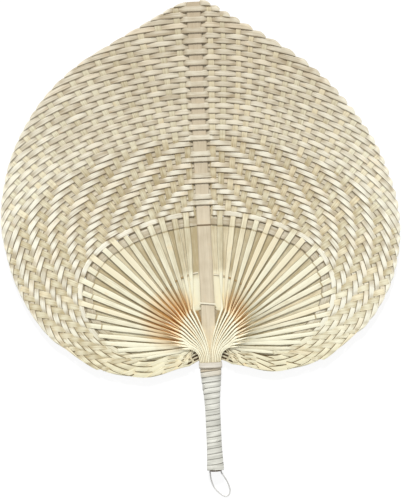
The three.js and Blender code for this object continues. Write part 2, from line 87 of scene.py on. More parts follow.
class Layer(Enum):
    """The layer that a rib keeps to between the throat and the weave."""

    FRONT = 1
    BACK = -1


class Body(Enum):
    """The bodies that pieces ride on."""

    FAN = "fan"
    LOOP = "loop"


class Slot(Enum):
    """The record's material slots."""

    RIB = "rib_bamboo"
    WEFT = "weft_bamboo"
    SPINE = "spine_bamboo"
    TIE = "tie_bamboo"
    COLLAR = "collar_band"
    BINDING = "binding_strip"
    LOOP = "loop_cord"


def paint(red: int, green: int, blue: int) -> Colour:
    """Turns a colour as seen on screen into the linear colour that a shader takes.

    Args:
        red: 0 to 255.
        green: 0 to 255.
        blue: 0 to 255.

    Returns:
        The linear colour with full alpha.
    """
    shares = [value / 255 for value in (red, green, blue)]
    linear = [s / 12.92 if s <= 0.04045 else ((s + 0.055) / 1.055) ** 2.4 for s in shares]
    return (linear[0], linear[1], linear[2], 1.0)


def smooth(value: float, low: float, high: float) -> float:
    """Rises smoothly from 0 at low to 1 at high."""
    share = min(1.0, max(0.0, (value - low) / (high - low)))
    return share * share * (3 - 2 * share)


def lerp(start: float, end: float, share: float) -> float:
    """The value that lies a share of the way from start to end."""
    return start + (end - start) * share


def heading(degrees: float) -> Array:
    """A unit vector turned clockwise from the tip's direction."""
    angle = math.radians(degrees)
    return np.array((math.sin(angle), math.cos(angle)))


def unit(vector: Array) -> Array:
    """The same direction with length 1."""
    return vector / np.linalg.norm(vector)


def unit_rows(vectors: Array) -> Array:
    """The same directions, one to a row, each with length 1."""
    return vectors / np.linalg.norm(vectors, axis=1)[:, None]


def aside(way: Array) -> Array:
    """A direction in the blade's plane, or one to a row, turned to its left."""
    return np.stack((-way[..., 1], way[..., 0]), axis=-1)


def bezier(start: Array, rise: Array, fall: Array, end: Array, steps: int) -> list[Array]:
    """Points along a cubic curve.

    Args:
        start: Its first point.
        rise: Its first handle.
        fall: Its second handle.
        end: Its last point.
        steps: How many steps it is cut into.

    Returns:
        The points, both ends among them.
    """
    points = []
    for share in np.linspace(0, 1, steps + 1):
        back = 1 - share
        near = back**3 * start + 3 * back * back * share * rise
        points.append(near + 3 * back * share * share * fall + share**3 * end)
    return points


def deselect_all() -> None:
    """Leaves nothing selected, so that an operator acts on the new piece alone."""
    bpy.ops.object.select_all(action="DESELECT")


def finish_mesh(piece: bpy.types.Object, name: str) -> None:
    """Names a piece and smooths it except at its edges.

    Args:
        piece: The piece.
        name: Its name.
    """
    piece.name = name
    piece.data.name = name
    deselect_all()
    piece.select_set(True)
    bpy.context.view_layer.objects.active = piece
    bpy.ops.object.shade_smooth_by_angle(angle=SMOOTH_BELOW)


def vertices(mesh: bpy.types.Mesh) -> Array:
    """Reads a mesh's vertices.

    Args:
        mesh: The mesh.

    Returns:
        The vertices, one to a row.
    """
    co = np.zeros(len(mesh.vertices) * 3)
    mesh.vertices.foreach_get("co", co)
    return co.reshape(-1, 3)


def carry(mesh: bpy.types.Mesh, uv: Array, numbers: dict[str, Array]) -> None:
    """Lays a strip's map and numbers, one to a vertex, on its mesh.

    Args:
        mesh: The mesh.
        uv: The places along and across the strip, one to a row.
        numbers: The numbers by name.
    """
    corners = np.zeros(len(mesh.loops), dtype=np.int32)
    mesh.loops.foreach_get("vertex_index", corners)
    layer = mesh.uv_layers.get(STRIP_UV) or mesh.uv_layers.new(name=STRIP_UV)
    layer.data.foreach_set("uv", uv[corners].astype(np.float32).ravel())
    for name, values in numbers.items():
        attribute = mesh.attributes.new(name, "FLOAT", "POINT")
        attribute.data.foreach_set("value", values.astype(np.float32))
    mesh.update()


def thicken(piece: bpy.types.Object, wall: float) -> None:
    """Gives a sheet a wall on its inner side.

    Args:
        piece: The sheet.
        wall: The wall's thickness in the sheet's own units.
    """
    solidify = piece.modifiers.new("wall", "SOLIDIFY")
    solidify.thickness = wall
    solidify.offset = -1.0
    bpy.ops.object.modifier_apply(modifier=solidify.name)


def dress(
    piece: bpy.types.Object,
    finish: Material,
    body: Body = Body.FAN,
    nodes: Sequence[str] = (),
) -> None:
    """Gives a piece its finish, its body and the solids that it stands for.

    Args:
        piece: The piece.
        finish: Its material.
        body: The body that it rides on.
        nodes: The solids that it replaces.
    """
    piece.data.materials.clear()
    piece.data.materials.append(finish)
    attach(piece, body.value)
    if nodes:
        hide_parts(*nodes)
    stands_for = ", ".join(nodes) or "nothing"
    log.info("%s rides on %s and replaces %s", piece.name, body.value, stands_for)


class Wire:
    """A socket's output, on which Python arithmetic adds Math nodes."""

    def __init__(self, bench: "Bench", socket: bpy.types.NodeSocket) -> None:
        """Wraps one output socket."""
        self.bench = bench
        self.socket = socket

    def _math(self, operation: str, first: Any, second: Any = 0.0) -> "Wire":
        """Adds one Math node."""
        return self.bench.node("ShaderNodeMath", {"operation": operation}, {0: first, 1: second})

    def __add__(self, other: Any) -> "Wire":
        """Adds a value or wire."""
        return self._math("ADD", self, other)

    def __radd__(self, other: Any) -> "Wire":
        """Adds to a value."""
        return self._math("ADD", other, self)

    def __sub__(self, other: Any) -> "Wire":
        """Takes a value or wire away."""
        return self._math("SUBTRACT", self, other)

    def __rsub__(self, other: Any) -> "Wire":
        """Is taken away from a value."""
        return self._math("SUBTRACT", other, self)

    def __mul__(self, other: Any) -> "Wire":
        """Multiplies by a value or wire."""
        return self._math("MULTIPLY", self, other)

    def __rmul__(self, other: Any) -> "Wire":
        """Multiplies a value."""
        return self._math("MULTIPLY", other, self)

    def __truediv__(self, other: Any) -> "Wire":
        """Divides by a value or wire."""
        return self._math("DIVIDE", self, other)

    def __pow__(self, other: Any) -> "Wire":
        """Raises to a power."""
        return self._math("POWER", self, other)

    def size(self) -> "Wire":
        """The value without its sign."""
        return self._math("ABSOLUTE", self)

    def clipped(self) -> "Wire":
        """The value kept between 0 and 1."""
        return self._math("MAXIMUM", self._math("MINIMUM", self, 1.0), 0.0)

    def slope(self, low: float, high: float) -> "Wire":
        """Rises smoothly from 0 at low to 1 at high."""
        settings = {"interpolation_type": "SMOOTHSTEP"}
        return self.bench.node(
            "ShaderNodeMapRange", settings, {"Value": self, "From Min": low, "From Max": high}
        )


class Bench:
    """The nodes of a material or a world, all added by one method."""

    def __init__(self, owner: bpy.types.ID) -> None:
        """Starts from an empty tree.

        Args:
            owner: The material or world.
        """
        self.owner = owner
        owner.use_nodes = True
        self.tree = owner.node_tree
        self.tree.nodes.clear()

    def node(
        self,
        kind: str,
        settings: dict[str, Any] | None = None,
        inputs: dict[int | str, Any] | None = None,
        output: int | str = 0,
    ) -> Wire:
        """Adds any node.

        Args:
            kind: The node's type.
            settings: The node's own settings, which are set first.
            inputs: Values or wires by socket name or number.
            output: The output socket wanted.

        Returns:
            That output as a wire.
        """
        node = self.tree.nodes.new(kind)
        for name, value in (settings or {}).items():
            setattr(node, name, value)
        for key, value in (inputs or {}).items():
            if isinstance(value, Wire):
                self.tree.links.new(value.socket, node.inputs[key])
            else:
                node.inputs[key].default_value = value
        return Wire(self, node.outputs[output] if len(node.outputs) else None)

    def blend(self, share: Any, first: Any, second: Any, way: str = "MIX") -> Wire:
        """Mixes a share of the second colour into the first, in the way of the blend type."""
        settings = {"data_type": "RGBA", "blend_type": way}
        return self.node("ShaderNodeMix", settings, {0: share, 6: first, 7: second}, 2)

    def attribute(self, name: str) -> Wire:
        """Reads a number that the piece's mesh carries."""
        return self.node("ShaderNodeAttribute", {"attribute_name": name}, None, "Fac")

    def split(self, vector: Wire) -> tuple[Wire, Wire, Wire]:
        """Takes a vector apart into its three numbers."""
        node = self.node("ShaderNodeSeparateXYZ", None, {0: vector}).socket.node
        return tuple(Wire(self, socket) for socket in node.outputs)

    def place(self) -> tuple[Wire, Wire, Wire]:
        """The place on the fan, in metres."""
        return self.split(self.node("ShaderNodeTexCoord", None, None, "Object"))

    def strip(self) -> tuple[Wire, Wire]:
        """The place along a strip, in centimetres, and across it, from -1 to 1."""
        return self.split(self.node("ShaderNodeUVMap", {"uv_map": STRIP_UV}))[:2]

    def grain(self, strip: tuple[Wire, Wire], fine: Pair, piece: Wire, detail: float) -> Wire:
        """Noise that is stretched along a strip.

        Args:
            strip: The place along and across the strip.
            fine: How fine the noise is along and across it.
            piece: A number that differs from strip to strip.
            detail: The noise's detail.

        Returns:
            The noise, about 0.5 on average.
        """
        spot = {0: strip[0] * fine[0], 1: strip[1] * fine[1], 2: piece}
        place = self.node("ShaderNodeCombineXYZ", None, spot)
        inputs = {"Vector": place, "Scale": 1.0, "Detail": detail}
        return self.node("ShaderNodeTexNoise", None, inputs)

    def bump(self, height: Wire, depth: float, strength: float) -> Wire:
        """Raises a surface by a height from 0 to 1, which is depth metres in all."""
        inputs = {"Strength": strength, "Distance": depth, "Height": height}
        return self.node("ShaderNodeBump", None, inputs)

    def surface(
        self, colour: Wire, roughness: Wire, normal: Wire, constants: dict[str, float]
    ) -> Material:
        """Ends the material with a Principled shader.

        Args:
            colour: The base colour.
            roughness: The roughness.
            normal: The bump.
            constants: The shader's other values by socket name.

        Returns:
            The finished material.
        """
        varying = {"Base Color": colour, "Roughness": roughness, "Normal": normal}
        shader = self.node("ShaderNodeBsdfPrincipled", None, varying | constants)
        self.node("ShaderNodeOutputMaterial", None, {"Surface": shader})
        return self.owner


@dataclass(frozen=True)
class BambooFinish:
    """Split bamboo: fibres along each strip, strips of different tones, stains, and dark edges that
    are partly rubbed fibre and partly painted shade, with painted shade towards the tip and a
    painted highlight at the sides.

    A pair of heights, places or squared distances is where a change over the fan starts and ends,
    and one named fine is how fine a noise is along and across a strip. A stain is its centre, its
    reach across and along, and its strength.
    """

    name: str
    light: Colour
    dark: Colour
    # Strip edges darken towards the edge colour, partly as rubbed fibre and partly as painted shade
    # between strips; with one_edge only the inner edge darkens, as a painted shadow line.
    edge: Colour = paint(112, 92, 58)
    edge_start: float = 0.8
    edge_share: float = 0.62
    one_edge: bool = False
    # Negative paleness mixes in this brown as painted shade.
    shade_brown: Colour = paint(104, 74, 42)
    rosy: Colour = paint(252, 234, 212)
    stain: Colour = paint(255, 194, 92)
    # Colour of the painted shade that darkens the fan towards its tip.
    falloff_shade: Colour = paint(225, 219, 212)
    low: Colour | None = None
    roughness: float = 0.44
    fibres: float = 5.0
    contrast: float = 1.0
    tone_share: float = 0.4
    fibre_share: float = 1.3
    band_share: float = 0.8
    blotch_share: float = 0.9
    fibre_along: float = 0.7
    band_fine: Pair = (0.16, 1.4)
    blotch_fine: Pair = (1.1, 0.4)
    rosy_tone: float = 0.36
    rosy_blotch: float = 3.2
    roughness_swing: float = 0.25
    relief_metres: float = 0.00025
    relief_strength: float = 0.5
    gloss: float = 0.4
    pale_across: Pair = (25.0, 105.0)
    pale_heights: Pair = (-15.0, 70.0)
    pale_share: float = 0.42
    # The painted shade grows over these heights and gives way to a painted highlight over the
    # places across.
    falloff_heights: Pair = (-30.0, 235.0)
    side_highlight_across: Pair = (55.0, 150.0)
    side_highlight_share: float = 0.45
    low_heights: Pair = (-25.0, 20.0)
    palm_rim_squared: Pair = (330.0, 620.0)
    stains: tuple[tuple[float, float, float, float, float], ...] = ()

    def _stained(self, x: Wire, y: Wire) -> Wire:
        """How stained each place is.

        Args:
            x: The place across the fan, in millimetres from the throat.
            y: The place along the fan.

        Returns:
            The share of stain, from 0 to 1.
        """
        total: Any = 0.0
        for centre_x, centre_y, reach_x, reach_y, strength in self.stains:
            away_x = (x - centre_x) / reach_x
            away_y = (y - centre_y) / reach_y
            near = 1 - (away_x * away_x + away_y * away_y).slope(0.0, 1.0)
            total = near * strength + total
        return total.clipped()

    def material(self, throat: Array) -> Material:
        """Builds the material.

        Args:
            throat: The throat's place in metres.

        Returns:
            The material.
        """
        bench = Bench(bpy.data.materials.new(self.name))
        x, y, _ = bench.place()
        x = (x - float(throat[0])) / MM
        y = (y - float(throat[1])) / MM
        strip = bench.strip()
        tone = bench.attribute(TONE)
        cream = bench.attribute(CREAM)
        fibre = bench.grain(strip, (self.fibre_along, self.fibres), tone * 53.0, 3.0)
        band = bench.grain(strip, self.band_fine, tone * 31.0 + 7.0, 2.0)
        blotch = bench.grain(strip, self.blotch_fine, tone * 17.0 + 3.0, 2.0)
        share = cream + (tone - 0.5) * (self.tone_share * self.contrast)
        share = share + (fibre - 0.5) * (self.fibre_share * self.contrast)
        share = share + (band - 0.5) * self.band_share
        corner = x.slope(*self.pale_across) * (1 - y.slope(*self.pale_heights))
        share = share + corner * self.pale_share
        share = (share + (blotch - 0.5) * self.blotch_share).clipped()
        colour = bench.blend(share, self.dark, self.light)
        rosy = tone.slope(0.7, 1.0) * self.rosy_tone + (blotch - 0.6).clipped() * self.rosy_blotch
        colour = bench.blend(rosy.clipped(), colour, self.rosy, "MULTIPLY")
        # Painted shade: negative paleness mixes in dark brown in creases, in gaps, behind strips
        # and at the handle's end.
        colour = bench.blend((0 - cream).clipped(), colour, self.shade_brown)
        # Dark edges, partly rubbed fibre and partly painted shade between strips; with one_edge, a
        # painted shadow line under the inner edge alone.
        rim = 0 - strip[1] if self.one_edge else strip[1].size()
        edge = rim.slope(self.edge_start, 0.98) * self.edge_share * bench.attribute(WORN_AND_SHADED)
        colour = bench.blend(edge, colour, self.edge)
        # Painted shade that grows towards the tip, lessened at the sides as a painted highlight.
        side_highlight = x.size().slope(*self.side_highlight_across) * self.side_highlight_share
        falloff = (y.slope(*self.falloff_heights) - side_highlight).clipped()
        colour = bench.blend(falloff, colour, self.falloff_shade, "MULTIPLY")
        if self.low:
            colour = bench.blend(1 - y.slope(*self.low_heights), colour, self.low, "MULTIPLY")
        if self.stains:
            stain = self._stained(x, y) * (1.2 - cream * 0.62).clipped()
            palm = 1 - (x * x + y * y).slope(*self.palm_rim_squared)
            stain = stain * (0.4 + fibre).clipped() * (1 - palm * cream).clipped()
            colour = bench.blend(stain, colour, self.stain, "MULTIPLY")
        roughness = self.roughness + (fibre - 0.5) * self.roughness_swing
        bump = bench.bump(fibre, self.relief_metres, self.relief_strength)
        return bench.surface(colour, roughness, bump, {"Specular IOR Level": self.gloss})


@dataclass(frozen=True)
class BindingFinish:
    """A flat whitish strip with fine lengthwise lines and edges darkened as painted shade."""

    name: str
    light: Colour
    dark: Colour
    edge: Colour
    tan: Colour = paint(246, 228, 204)
    roughness: float = 0.36
    roughness_swing: float = 0.2
    line_fine: Pair = (0.35, 4.0)
    line_share: float = 1.6
    cloud_fine: Pair = (0.8, 0.5)
    cloud_share: float = 1.4
    edge_start: float = 0.7
    edge_share: float = 0.5
    relief_metres: float = 0.0002
    relief_strength: float = 0.3
    gloss: float = 0.5

    def material(self) -> Material:
        """Builds the material.

        Returns:
            The material.
        """
        bench = Bench(bpy.data.materials.new(self.name))
        strip = bench.strip()
        tone = bench.attribute(TONE)
        line = bench.grain(strip, self.line_fine, tone * 41.0, 2.0)
        cloud = bench.grain(strip, self.cloud_fine, tone * 11.0, 2.0)
        share = 0.5 + (line - 0.5) * self.line_share + (cloud - 0.5) * self.cloud_share
        colour = bench.blend(share.clipped(), self.dark, self.light)
        # Painted shade along the strip's edges, where the turns meet and at the collar's rims.
        edge = strip[1].size().slope(self.edge_start, 1.0) * self.edge_share
        colour = bench.blend(edge, colour, self.edge)
        colour = bench.blend((1 - bench.attribute(CREAM)).clipped(), colour, self.tan, "MULTIPLY")
        roughness = self.roughness + (cloud - 0.5) * self.roughness_swing
        bump = bench.bump(line, self.relief_metres, self.relief_strength)
        return bench.surface(colour, roughness, bump, {"Specular IOR Level": self.gloss})


@dataclass(frozen=True)
class CordFinish:
    """A thin whitish cord of twisted plies with a soft gloss."""

    name: str
    light: Colour
    dark: Colour
    plies_per_metre: float = 900.0
    twist: float = 0.6
    ply_share: float = 0.8
    roughness: float = 0.38
    roughness_swing: float = 0.1
    relief_metres: float = 0.0001
    relief_strength: float = 0.4
    clearness: float = 0.12

    def material(self) -> Material:
        """Builds the material.

        Returns:
            The material.
        """
        bench = Bench(bpy.data.materials.new(self.name))
        x, y, z = bench.place()
        turn = (x + y * self.twist + z) * self.plies_per_metre * FULL_TURN
        ply = bench.node("ShaderNodeMath", {"operation": "SINE"}, {0: turn}) * 0.5 + 0.5
        colour = bench.blend(ply * self.ply_share, self.light, self.dark)
        roughness = self.roughness + ply * self.roughness_swing
        bump = bench.bump(1 - ply, self.relief_metres, self.relief_strength)
        return bench.surface(colour, roughness, bump, {"Transmission Weight": self.clearness})


@dataclass(frozen=True)
class Finishes:
    """Every finish of the fan."""

    rib: BambooFinish = BambooFinish(
        "split_bamboo_rib",
        light=paint(255, 251, 223),
        dark=paint(198, 182, 142),
        stains=(
            (-27.0, 11.0, 28.0, 27.0, 0.94),
            (20.0, 12.0, 13.5, 23.0, 0.6),
        ),
    )
    weft: BambooFinish = BambooFinish(
        "split_bamboo_weft",
        light=paint(255, 252, 233),
        dark=paint(195, 181, 151),
        low=paint(255, 251, 234),
        edge_start=0.62,
        edge_share=0.8,
        # Only the inner edge darkens: a painted shadow line along each row.
        one_edge=True,
        fibres=4.0,
    )
    spine: BambooFinish = BambooFinish(
        "split_bamboo_spine",
        light=paint(236, 224, 198),
        dark=paint(202, 187, 157),
        edge_share=0.3,
        fibres=9.0,
        contrast=0.8,
    )
    tie: BambooFinish = BambooFinish(
        "split_bamboo_tie",
        light=paint(255, 250, 226),
        dark=paint(206, 176, 124),
        edge_start=0.55,
        edge_share=0.7,
        fibres=2.0,
    )
    collar: BindingFinish = BindingFinish(
        "collar_band",
        light=paint(254, 248, 235),
        dark=paint(200, 190, 172),
        edge=paint(132, 116, 92),
        edge_share=0.7,
    )
    binding: BindingFinish = BindingFinish(
        "binding_strip",
        light=paint(254, 253, 242),
        dark=paint(184, 183, 172),
        edge=paint(98, 94, 84),
        edge_share=0.8,
    )
    loop: CordFinish = CordFinish(
        "loop_cord", light=paint(248, 247, 244), dark=paint(222, 220, 214)
    )


@dataclass(frozen=True)
class Run:
    """A strip's cross-sections in order: centres, half widths and half thicknesses."""

    centres: Array
    across: Array
    through: Array
    cream: Array
    tone: float
    edge_share: float = 0.35
    worn_and_shaded: Array | None = None

    def on(self, side: Side) -> "Run":
        """Puts a run that was laid out on the right on its own side, with its faces outwards.

        Args:
            side: The side that it belongs to.

        Returns:
            The run on that side.
        """
        if side is Side.RIGHT:
            return self
        flip = np.array((-1.0, 1.0, 1.0))
        centres, through = self.centres * flip, self.through * flip
        return replace(self, centres=centres, across=-self.across * flip, through=through)


@dataclass(frozen=True)
class BladeWarp:
    """How the handmade blade departs from an even outline, in millimetres.

    A row of lean is a height, how far the rim there lies to the right, and how far it lies
    outwards on both sides. A row of sag is a place across and how far the lower rim rises.
    """

    outline: Array
    lean: tuple[tuple[float, float, float], ...] = (
        (-30.0, 0.0, 1.2),
        (31.0, 0.0, 1.2),
        (67.0, -1.4, 0.9),
        (86.0, -3.0, 1.4),
        (104.0, -4.2, 0.8),
        (122.0, -5.2, 0.0),
        (140.0, -6.2, -0.5),
        (158.0, -7.2, -1.6),
        (176.0, -8.0, -2.2),
        (196.0, -8.0, -2.2),
        (212.0, -7.2, -1.9),
        (224.0, -5.2, -1.3),
        (240.0, -2.4, -0.7),
        (252.0, 0.0, 0.0),
    )
    sag: tuple[tuple[float, float], ...] = (
        (9.5, 0.0),
        (15.0, -3.6),
        (50.0, -2.8),
        (74.0, -1.0),
        (88.0, 0.8),
        (108.0, 3.4),
        (130.0, 2.0),
    )
    sag_top: float = 4.0
    sag_bottom: float = -16.0
    least_half: float = 8.0
    still_share: float = 0.12
    moving_share: float = 0.83

    def __call__(self, points: Array) -> Array:
        """Moves points sideways and along.

        Args:
            points: Points in millimetres from the throat, one to a row.

        Returns:
            The moved points.
        """
        x, y = points[:, 0], points[:, 1]
        lowest = int(np.argmin(self.outline[:, 1]))
        heights = self.outline[: lowest + 1, 1][::-1]
        half = np.interp(y, heights, self.outline[: lowest + 1, 0][::-1])
        away = np.abs(x) / np.maximum(half, self.least_half)
        share = np.clip((away - self.still_share) / self.moving_share, 0, 1)
        share = share * share * (3 - 2 * share)
        rows = np.array(self.lean)
        lean = np.interp(y, rows[:, 0], rows[:, 1])
        outwards = np.interp(y, rows[:, 0], rows[:, 2])
        low = np.clip((self.sag_top - y) / (self.sag_top - self.sag_bottom), 0, 1)
        places = np.array(self.sag)
        rise = np.interp(np.abs(x), places[:, 0], places[:, 1]) * low * low * (3 - 2 * low)
        moved = points.copy()
        moved[:, 0] += (lean + outwards * np.sign(x)) * share
        moved[:, 1] += np.where(np.abs(x) > places[0, 0], rise, 0.0)
        return moved


class StripShop:
    """Bends copies of blank strips along their runs and joins them into finished pieces."""

    def __init__(self, throat: Array, warp: BladeWarp) -> None:
        """Sets up an empty shop.

        Args:
            throat: The throat's place in metres.
            warp: How the blade departs from its even plan.
        """
        self.throat = throat
        self.warp = warp
        self._blanks: dict[tuple[int, int], bpy.types.Mesh] = {}

    def _blank(self, steps: int, lanes: int) -> bpy.types.Mesh:
        """A flat strip two units long and wide, with a wall, which is modelled once.

        Args:
            steps: How many faces it has along its length.
            lanes: How many faces it has across.

        Returns:
            The blank's mesh.
        """
        if (steps, lanes) not in self._blanks:
            deselect_all()
            bpy.ops.mesh.primitive_grid_add(
                x_subdivisions=steps, y_subdivisions=lanes, size=2, calc_uvs=False
            )
            piece = bpy.context.active_object
            thicken(piece, BLANK_WALL)
            self._blanks[(steps, lanes)] = piece.data
            bpy.data.objects.remove(piece)
        return self._blanks[(steps, lanes)]

    def to_frame(self, points: Array) -> Array:
        """Turns millimetres from the throat into the row frame's metres."""
        return points * MM + self.throat

    def _bend(self, run: Run, lanes: int, warped: bool) -> bpy.types.Object:
        """Bends a copy of the blank along a run.

        Args:
            run: The cross-sections to follow.
            lanes: How many faces the strip has across.
            warped: Whether the strip follows the blade's warp.

        Returns:
            The strip's object.
        """
        steps = len(run.centres) - 1
        mesh = self._blank(steps, lanes).copy()
        x, y, z = vertices(mesh).T
        section = np.rint((x + 1) / 2 * steps).astype(int)
        face = np.where(z > -BLANK_WALL / 2, 1.0, -1.0)
        worn_and_shaded = np.ones(steps + 1) if run.worn_and_shaded is None else run.worn_and_shaded
        lens = np.maximum(0.15, 1 - (1 - run.edge_share) * worn_and_shaded[section] * y * y)
        points = run.centres[section] + run.across[section] * y[:, None]
        points = points + run.through[section] * (face * lens)[:, None]
        if warped:
            points = self.warp(points)
        mesh.vertices.foreach_set("co", self.to_frame(points).ravel())
        gaps = np.linalg.norm(np.diff(run.centres, axis=0), axis=1)
        travelled = np.concatenate(([0.0], np.cumsum(gaps))) / UV_MM
        numbers = {TONE: np.full(len(x), run.tone), CREAM: run.cream[section], WORN_AND_SHADED: worn_and_shaded[section]}
        carry(mesh, np.stack((travelled[section], y), axis=1), numbers)
        strip = bpy.data.objects.new("strip", mesh)
        bpy.context.scene.collection.objects.link(strip)
        return strip

    def piece(
        self,
        name: str,
        runs: Sequence[Run],
        finish: Material,
        slot: Slot,
        nodes: Sequence[str] = (),
        lanes: int = 4,
        warped: bool = True,
    ) -> None:
        """Bends a strip along each run, joins them into one piece and dresses it.

        Args:
            name: The piece's name.
            runs: The strips' runs.
            finish: Its material.
            slot: The record's material slot.
            nodes: The solids that it replaces.
            lanes: How many faces each strip has across.
            warped: Whether the strips follow the blade's warp.
        """
        strips = [self._bend(run, lanes, warped) for run in runs]
        deselect_all()
        for strip in strips:
            strip.select_set(True)
        bpy.context.view_layer.objects.active = strips[0]
        if len(strips) > 1:
            bpy.ops.object.join()
        finish_mesh(strips[0], name)
        dress(strips[0], finish, Body.FAN, nodes)


@dataclass(frozen=True)
class Line:
    """A straight line in the blade's plane."""

    base: Array
    way: Array

    def at(self, distance: float) -> Array:
        """The point a distance along the line."""
        return self.base + self.way * distance

    def toward(self, other: "Line", share: float) -> "Line":
        """The line a share of the way to another one."""
        way = unit(self.way + (other.way - self.way) * share)
        return Line(self.base + (other.base - self.base) * share, way)

    def circle_distance(self, centre: Array, radius: float) -> float:
        """The far crossing with a circle.

        Args:
            centre: The circle's centre.
            radius: Its radius.

        Returns:
            The distance along the line, or nan where they don't meet.
        """
        offset = self.base - centre
        along = float(offset @ self.way)
        rest = along * along - float(offset @ offset) + radius * radius
        return math.nan if rest < 0 else math.sqrt(rest) - along


def upright(x: float) -> Line:
    """The line that runs up the blade at a place across it."""
    return Line(np.array((x, 0.0)), np.array((0.0, 1.0)))


def line_at(lines: Sequence[Line], place: float) -> Line:
    """The line at a place among the ribs, where the lines' first one lies at -1."""
    whole = min(int(math.floor(place)) + 1, len(lines) - 2)
    return lines[whole].toward(lines[whole + 1], place + 1 - whole)


@dataclass
class BladePlan:
    """The outline of the blade and the edge of its open splay, as the solids have them."""

    blade_width: float = 297.8
    widest_y: float = 81.8
    tip_radius: float = 34.0
    shoulder_radius: float = 153.8
    shoulder_slope: float = 30.0
    lobe_radius: float = 122.0
    lobe_angle: float = 50.5
    lower_lobe_radius: float = 78.8
    tail_bottom: float = -21.5
    splay_top: float = 91.3
    splay_top_radius: float = 144.0
    splay_side_radius: float = 46.2
    splay_join_angle: float = 30.2
    arc_steps: int = 40

    def __post_init__(self) -> None:
        """Works out the centres and the outline's points."""
        slope = math.radians(self.shoulder_slope)
        lobe_end = math.radians(self.lobe_angle)
        half = self.blade_width / 2
        shoulder = np.array((half - self.shoulder_radius, self.widest_y))
        rise = (self.shoulder_radius + shoulder[0] * math.sin(slope)) / math.cos(slope)
        self.tip_centre = np.array((0.0, self.widest_y + rise - self.tip_radius / math.cos(slope)))
        self.tip_y = float(self.tip_centre[1]) + self.tip_radius
        inset = self.lobe_radius - self.lower_lobe_radius
        self.lobe_bottom = self.widest_y - inset * math.sin(lobe_end) - self.lower_lobe_radius
        lobe = np.array((half - self.lobe_radius, self.widest_y))
        lower = lobe + inset * np.array((math.cos(lobe_end), -math.sin(lobe_end)))
        top = math.pi / 2
        points = [
            *self._arc(self.tip_centre, self.tip_radius, top, top - slope),
            *self._arc(shoulder, self.shoulder_radius, top - slope, 0.0),
            *self._arc(lobe, self.lobe_radius, 0.0, -lobe_end),
            *self._arc(lower, self.lower_lobe_radius, -lobe_end, -top),
            *bezier(
                np.array((lower[0], self.lobe_bottom)),
                np.array((lower[0] * 0.6, self.lobe_bottom)),
                np.array((lower[0] * 0.4, self.tail_bottom)),
                np.array((0.0, self.tail_bottom)),
                self.arc_steps,
            ),
        ]
        self.outline = np.array(points)
        self.top_centre = np.array((0.0, self.splay_top - self.splay_top_radius))
        reach = self.splay_top_radius - self.splay_side_radius
        self.side_centre = self.top_centre + heading(self.splay_join_angle) * reach

    def _arc(self, centre: Array, radius: float, start: float, end: float) -> list[Array]:
        """Points along an arc."""
        angles = np.linspace(start, end, self.arc_steps + 1)
        return [centre + radius * np.array((math.cos(a), math.sin(a))) for a in angles]

    def rim_distance(self, line: Line) -> float:
        """Where a line leaves the blade.

        Args:
            line: The line, from inside the blade.

        Returns:
            The distance along it.
        """
        start = self.outline[:-1]
        edge = self.outline[1:] - start
        offset = start - line.base
        turn = line.way[0] * edge[:, 1] - line.way[1] * edge[:, 0]
        turn = np.where(np.abs(turn) < 1e-12, 1e-12, turn)
        share = (offset[:, 0] * line.way[1] - offset[:, 1] * line.way[0]) / turn
        distance = (offset[:, 0] * edge[:, 1] - offset[:, 1] * edge[:, 0]) / turn
        hit = distance[(share >= 0) & (share <= 1)]
        return float(max(hit.max(), 0.0)) if len(hit) else 0.0

    def row_distance(self, line: Line, offset: float) -> float:
        """Where a line meets the curve that lies outside the splay's edge.

        Args:
            line: The line.
            offset: How far outside the splay's edge the curve lies.

        Returns:
            The distance along the line.
        """
        top = line.circle_distance(self.top_centre, self.splay_top_radius + offset)
        place = line.at(top) - self.top_centre
        if math.atan2(place[0], place[1]) <= math.radians(self.splay_join_angle):
            return top
        return line.circle_distance(self.side_centre, self.splay_side_radius + offset)


@dataclass
class Handle:
    """The oval of the bound handle along its length."""

    end: float = -104.0
    top: float = -22.0
    waist_top: float = -58.0
    waist_end: float = -82.0
    top_width: float = 16.4
    waist_width: float = 11.4
    end_width: float = 12.6
    top_depth: float = 11.2
    waist_depth: float = 9.4
    wall: float = 0.8

    def oval(self, y: float) -> tuple[float, float]:
        """The half width and half depth at a height.

        Args:
            y: The height.

        Returns:
            Both half axes.
        """
        top = smooth(y, self.waist_top, self.top)
        end = smooth(-y, -self.waist_end, -self.end)
        waist = lerp(self.waist_width, self.end_width, end)
        width = lerp(waist, self.top_width, top)
        return width / 2, lerp(self.waist_depth, self.top_depth, top) / 2

    def core(self, y: float) -> tuple[float, float]:
        """The oval inside the binding at a height."""
        a, b = self.oval(y)
        return a - self.wall, b - self.wall


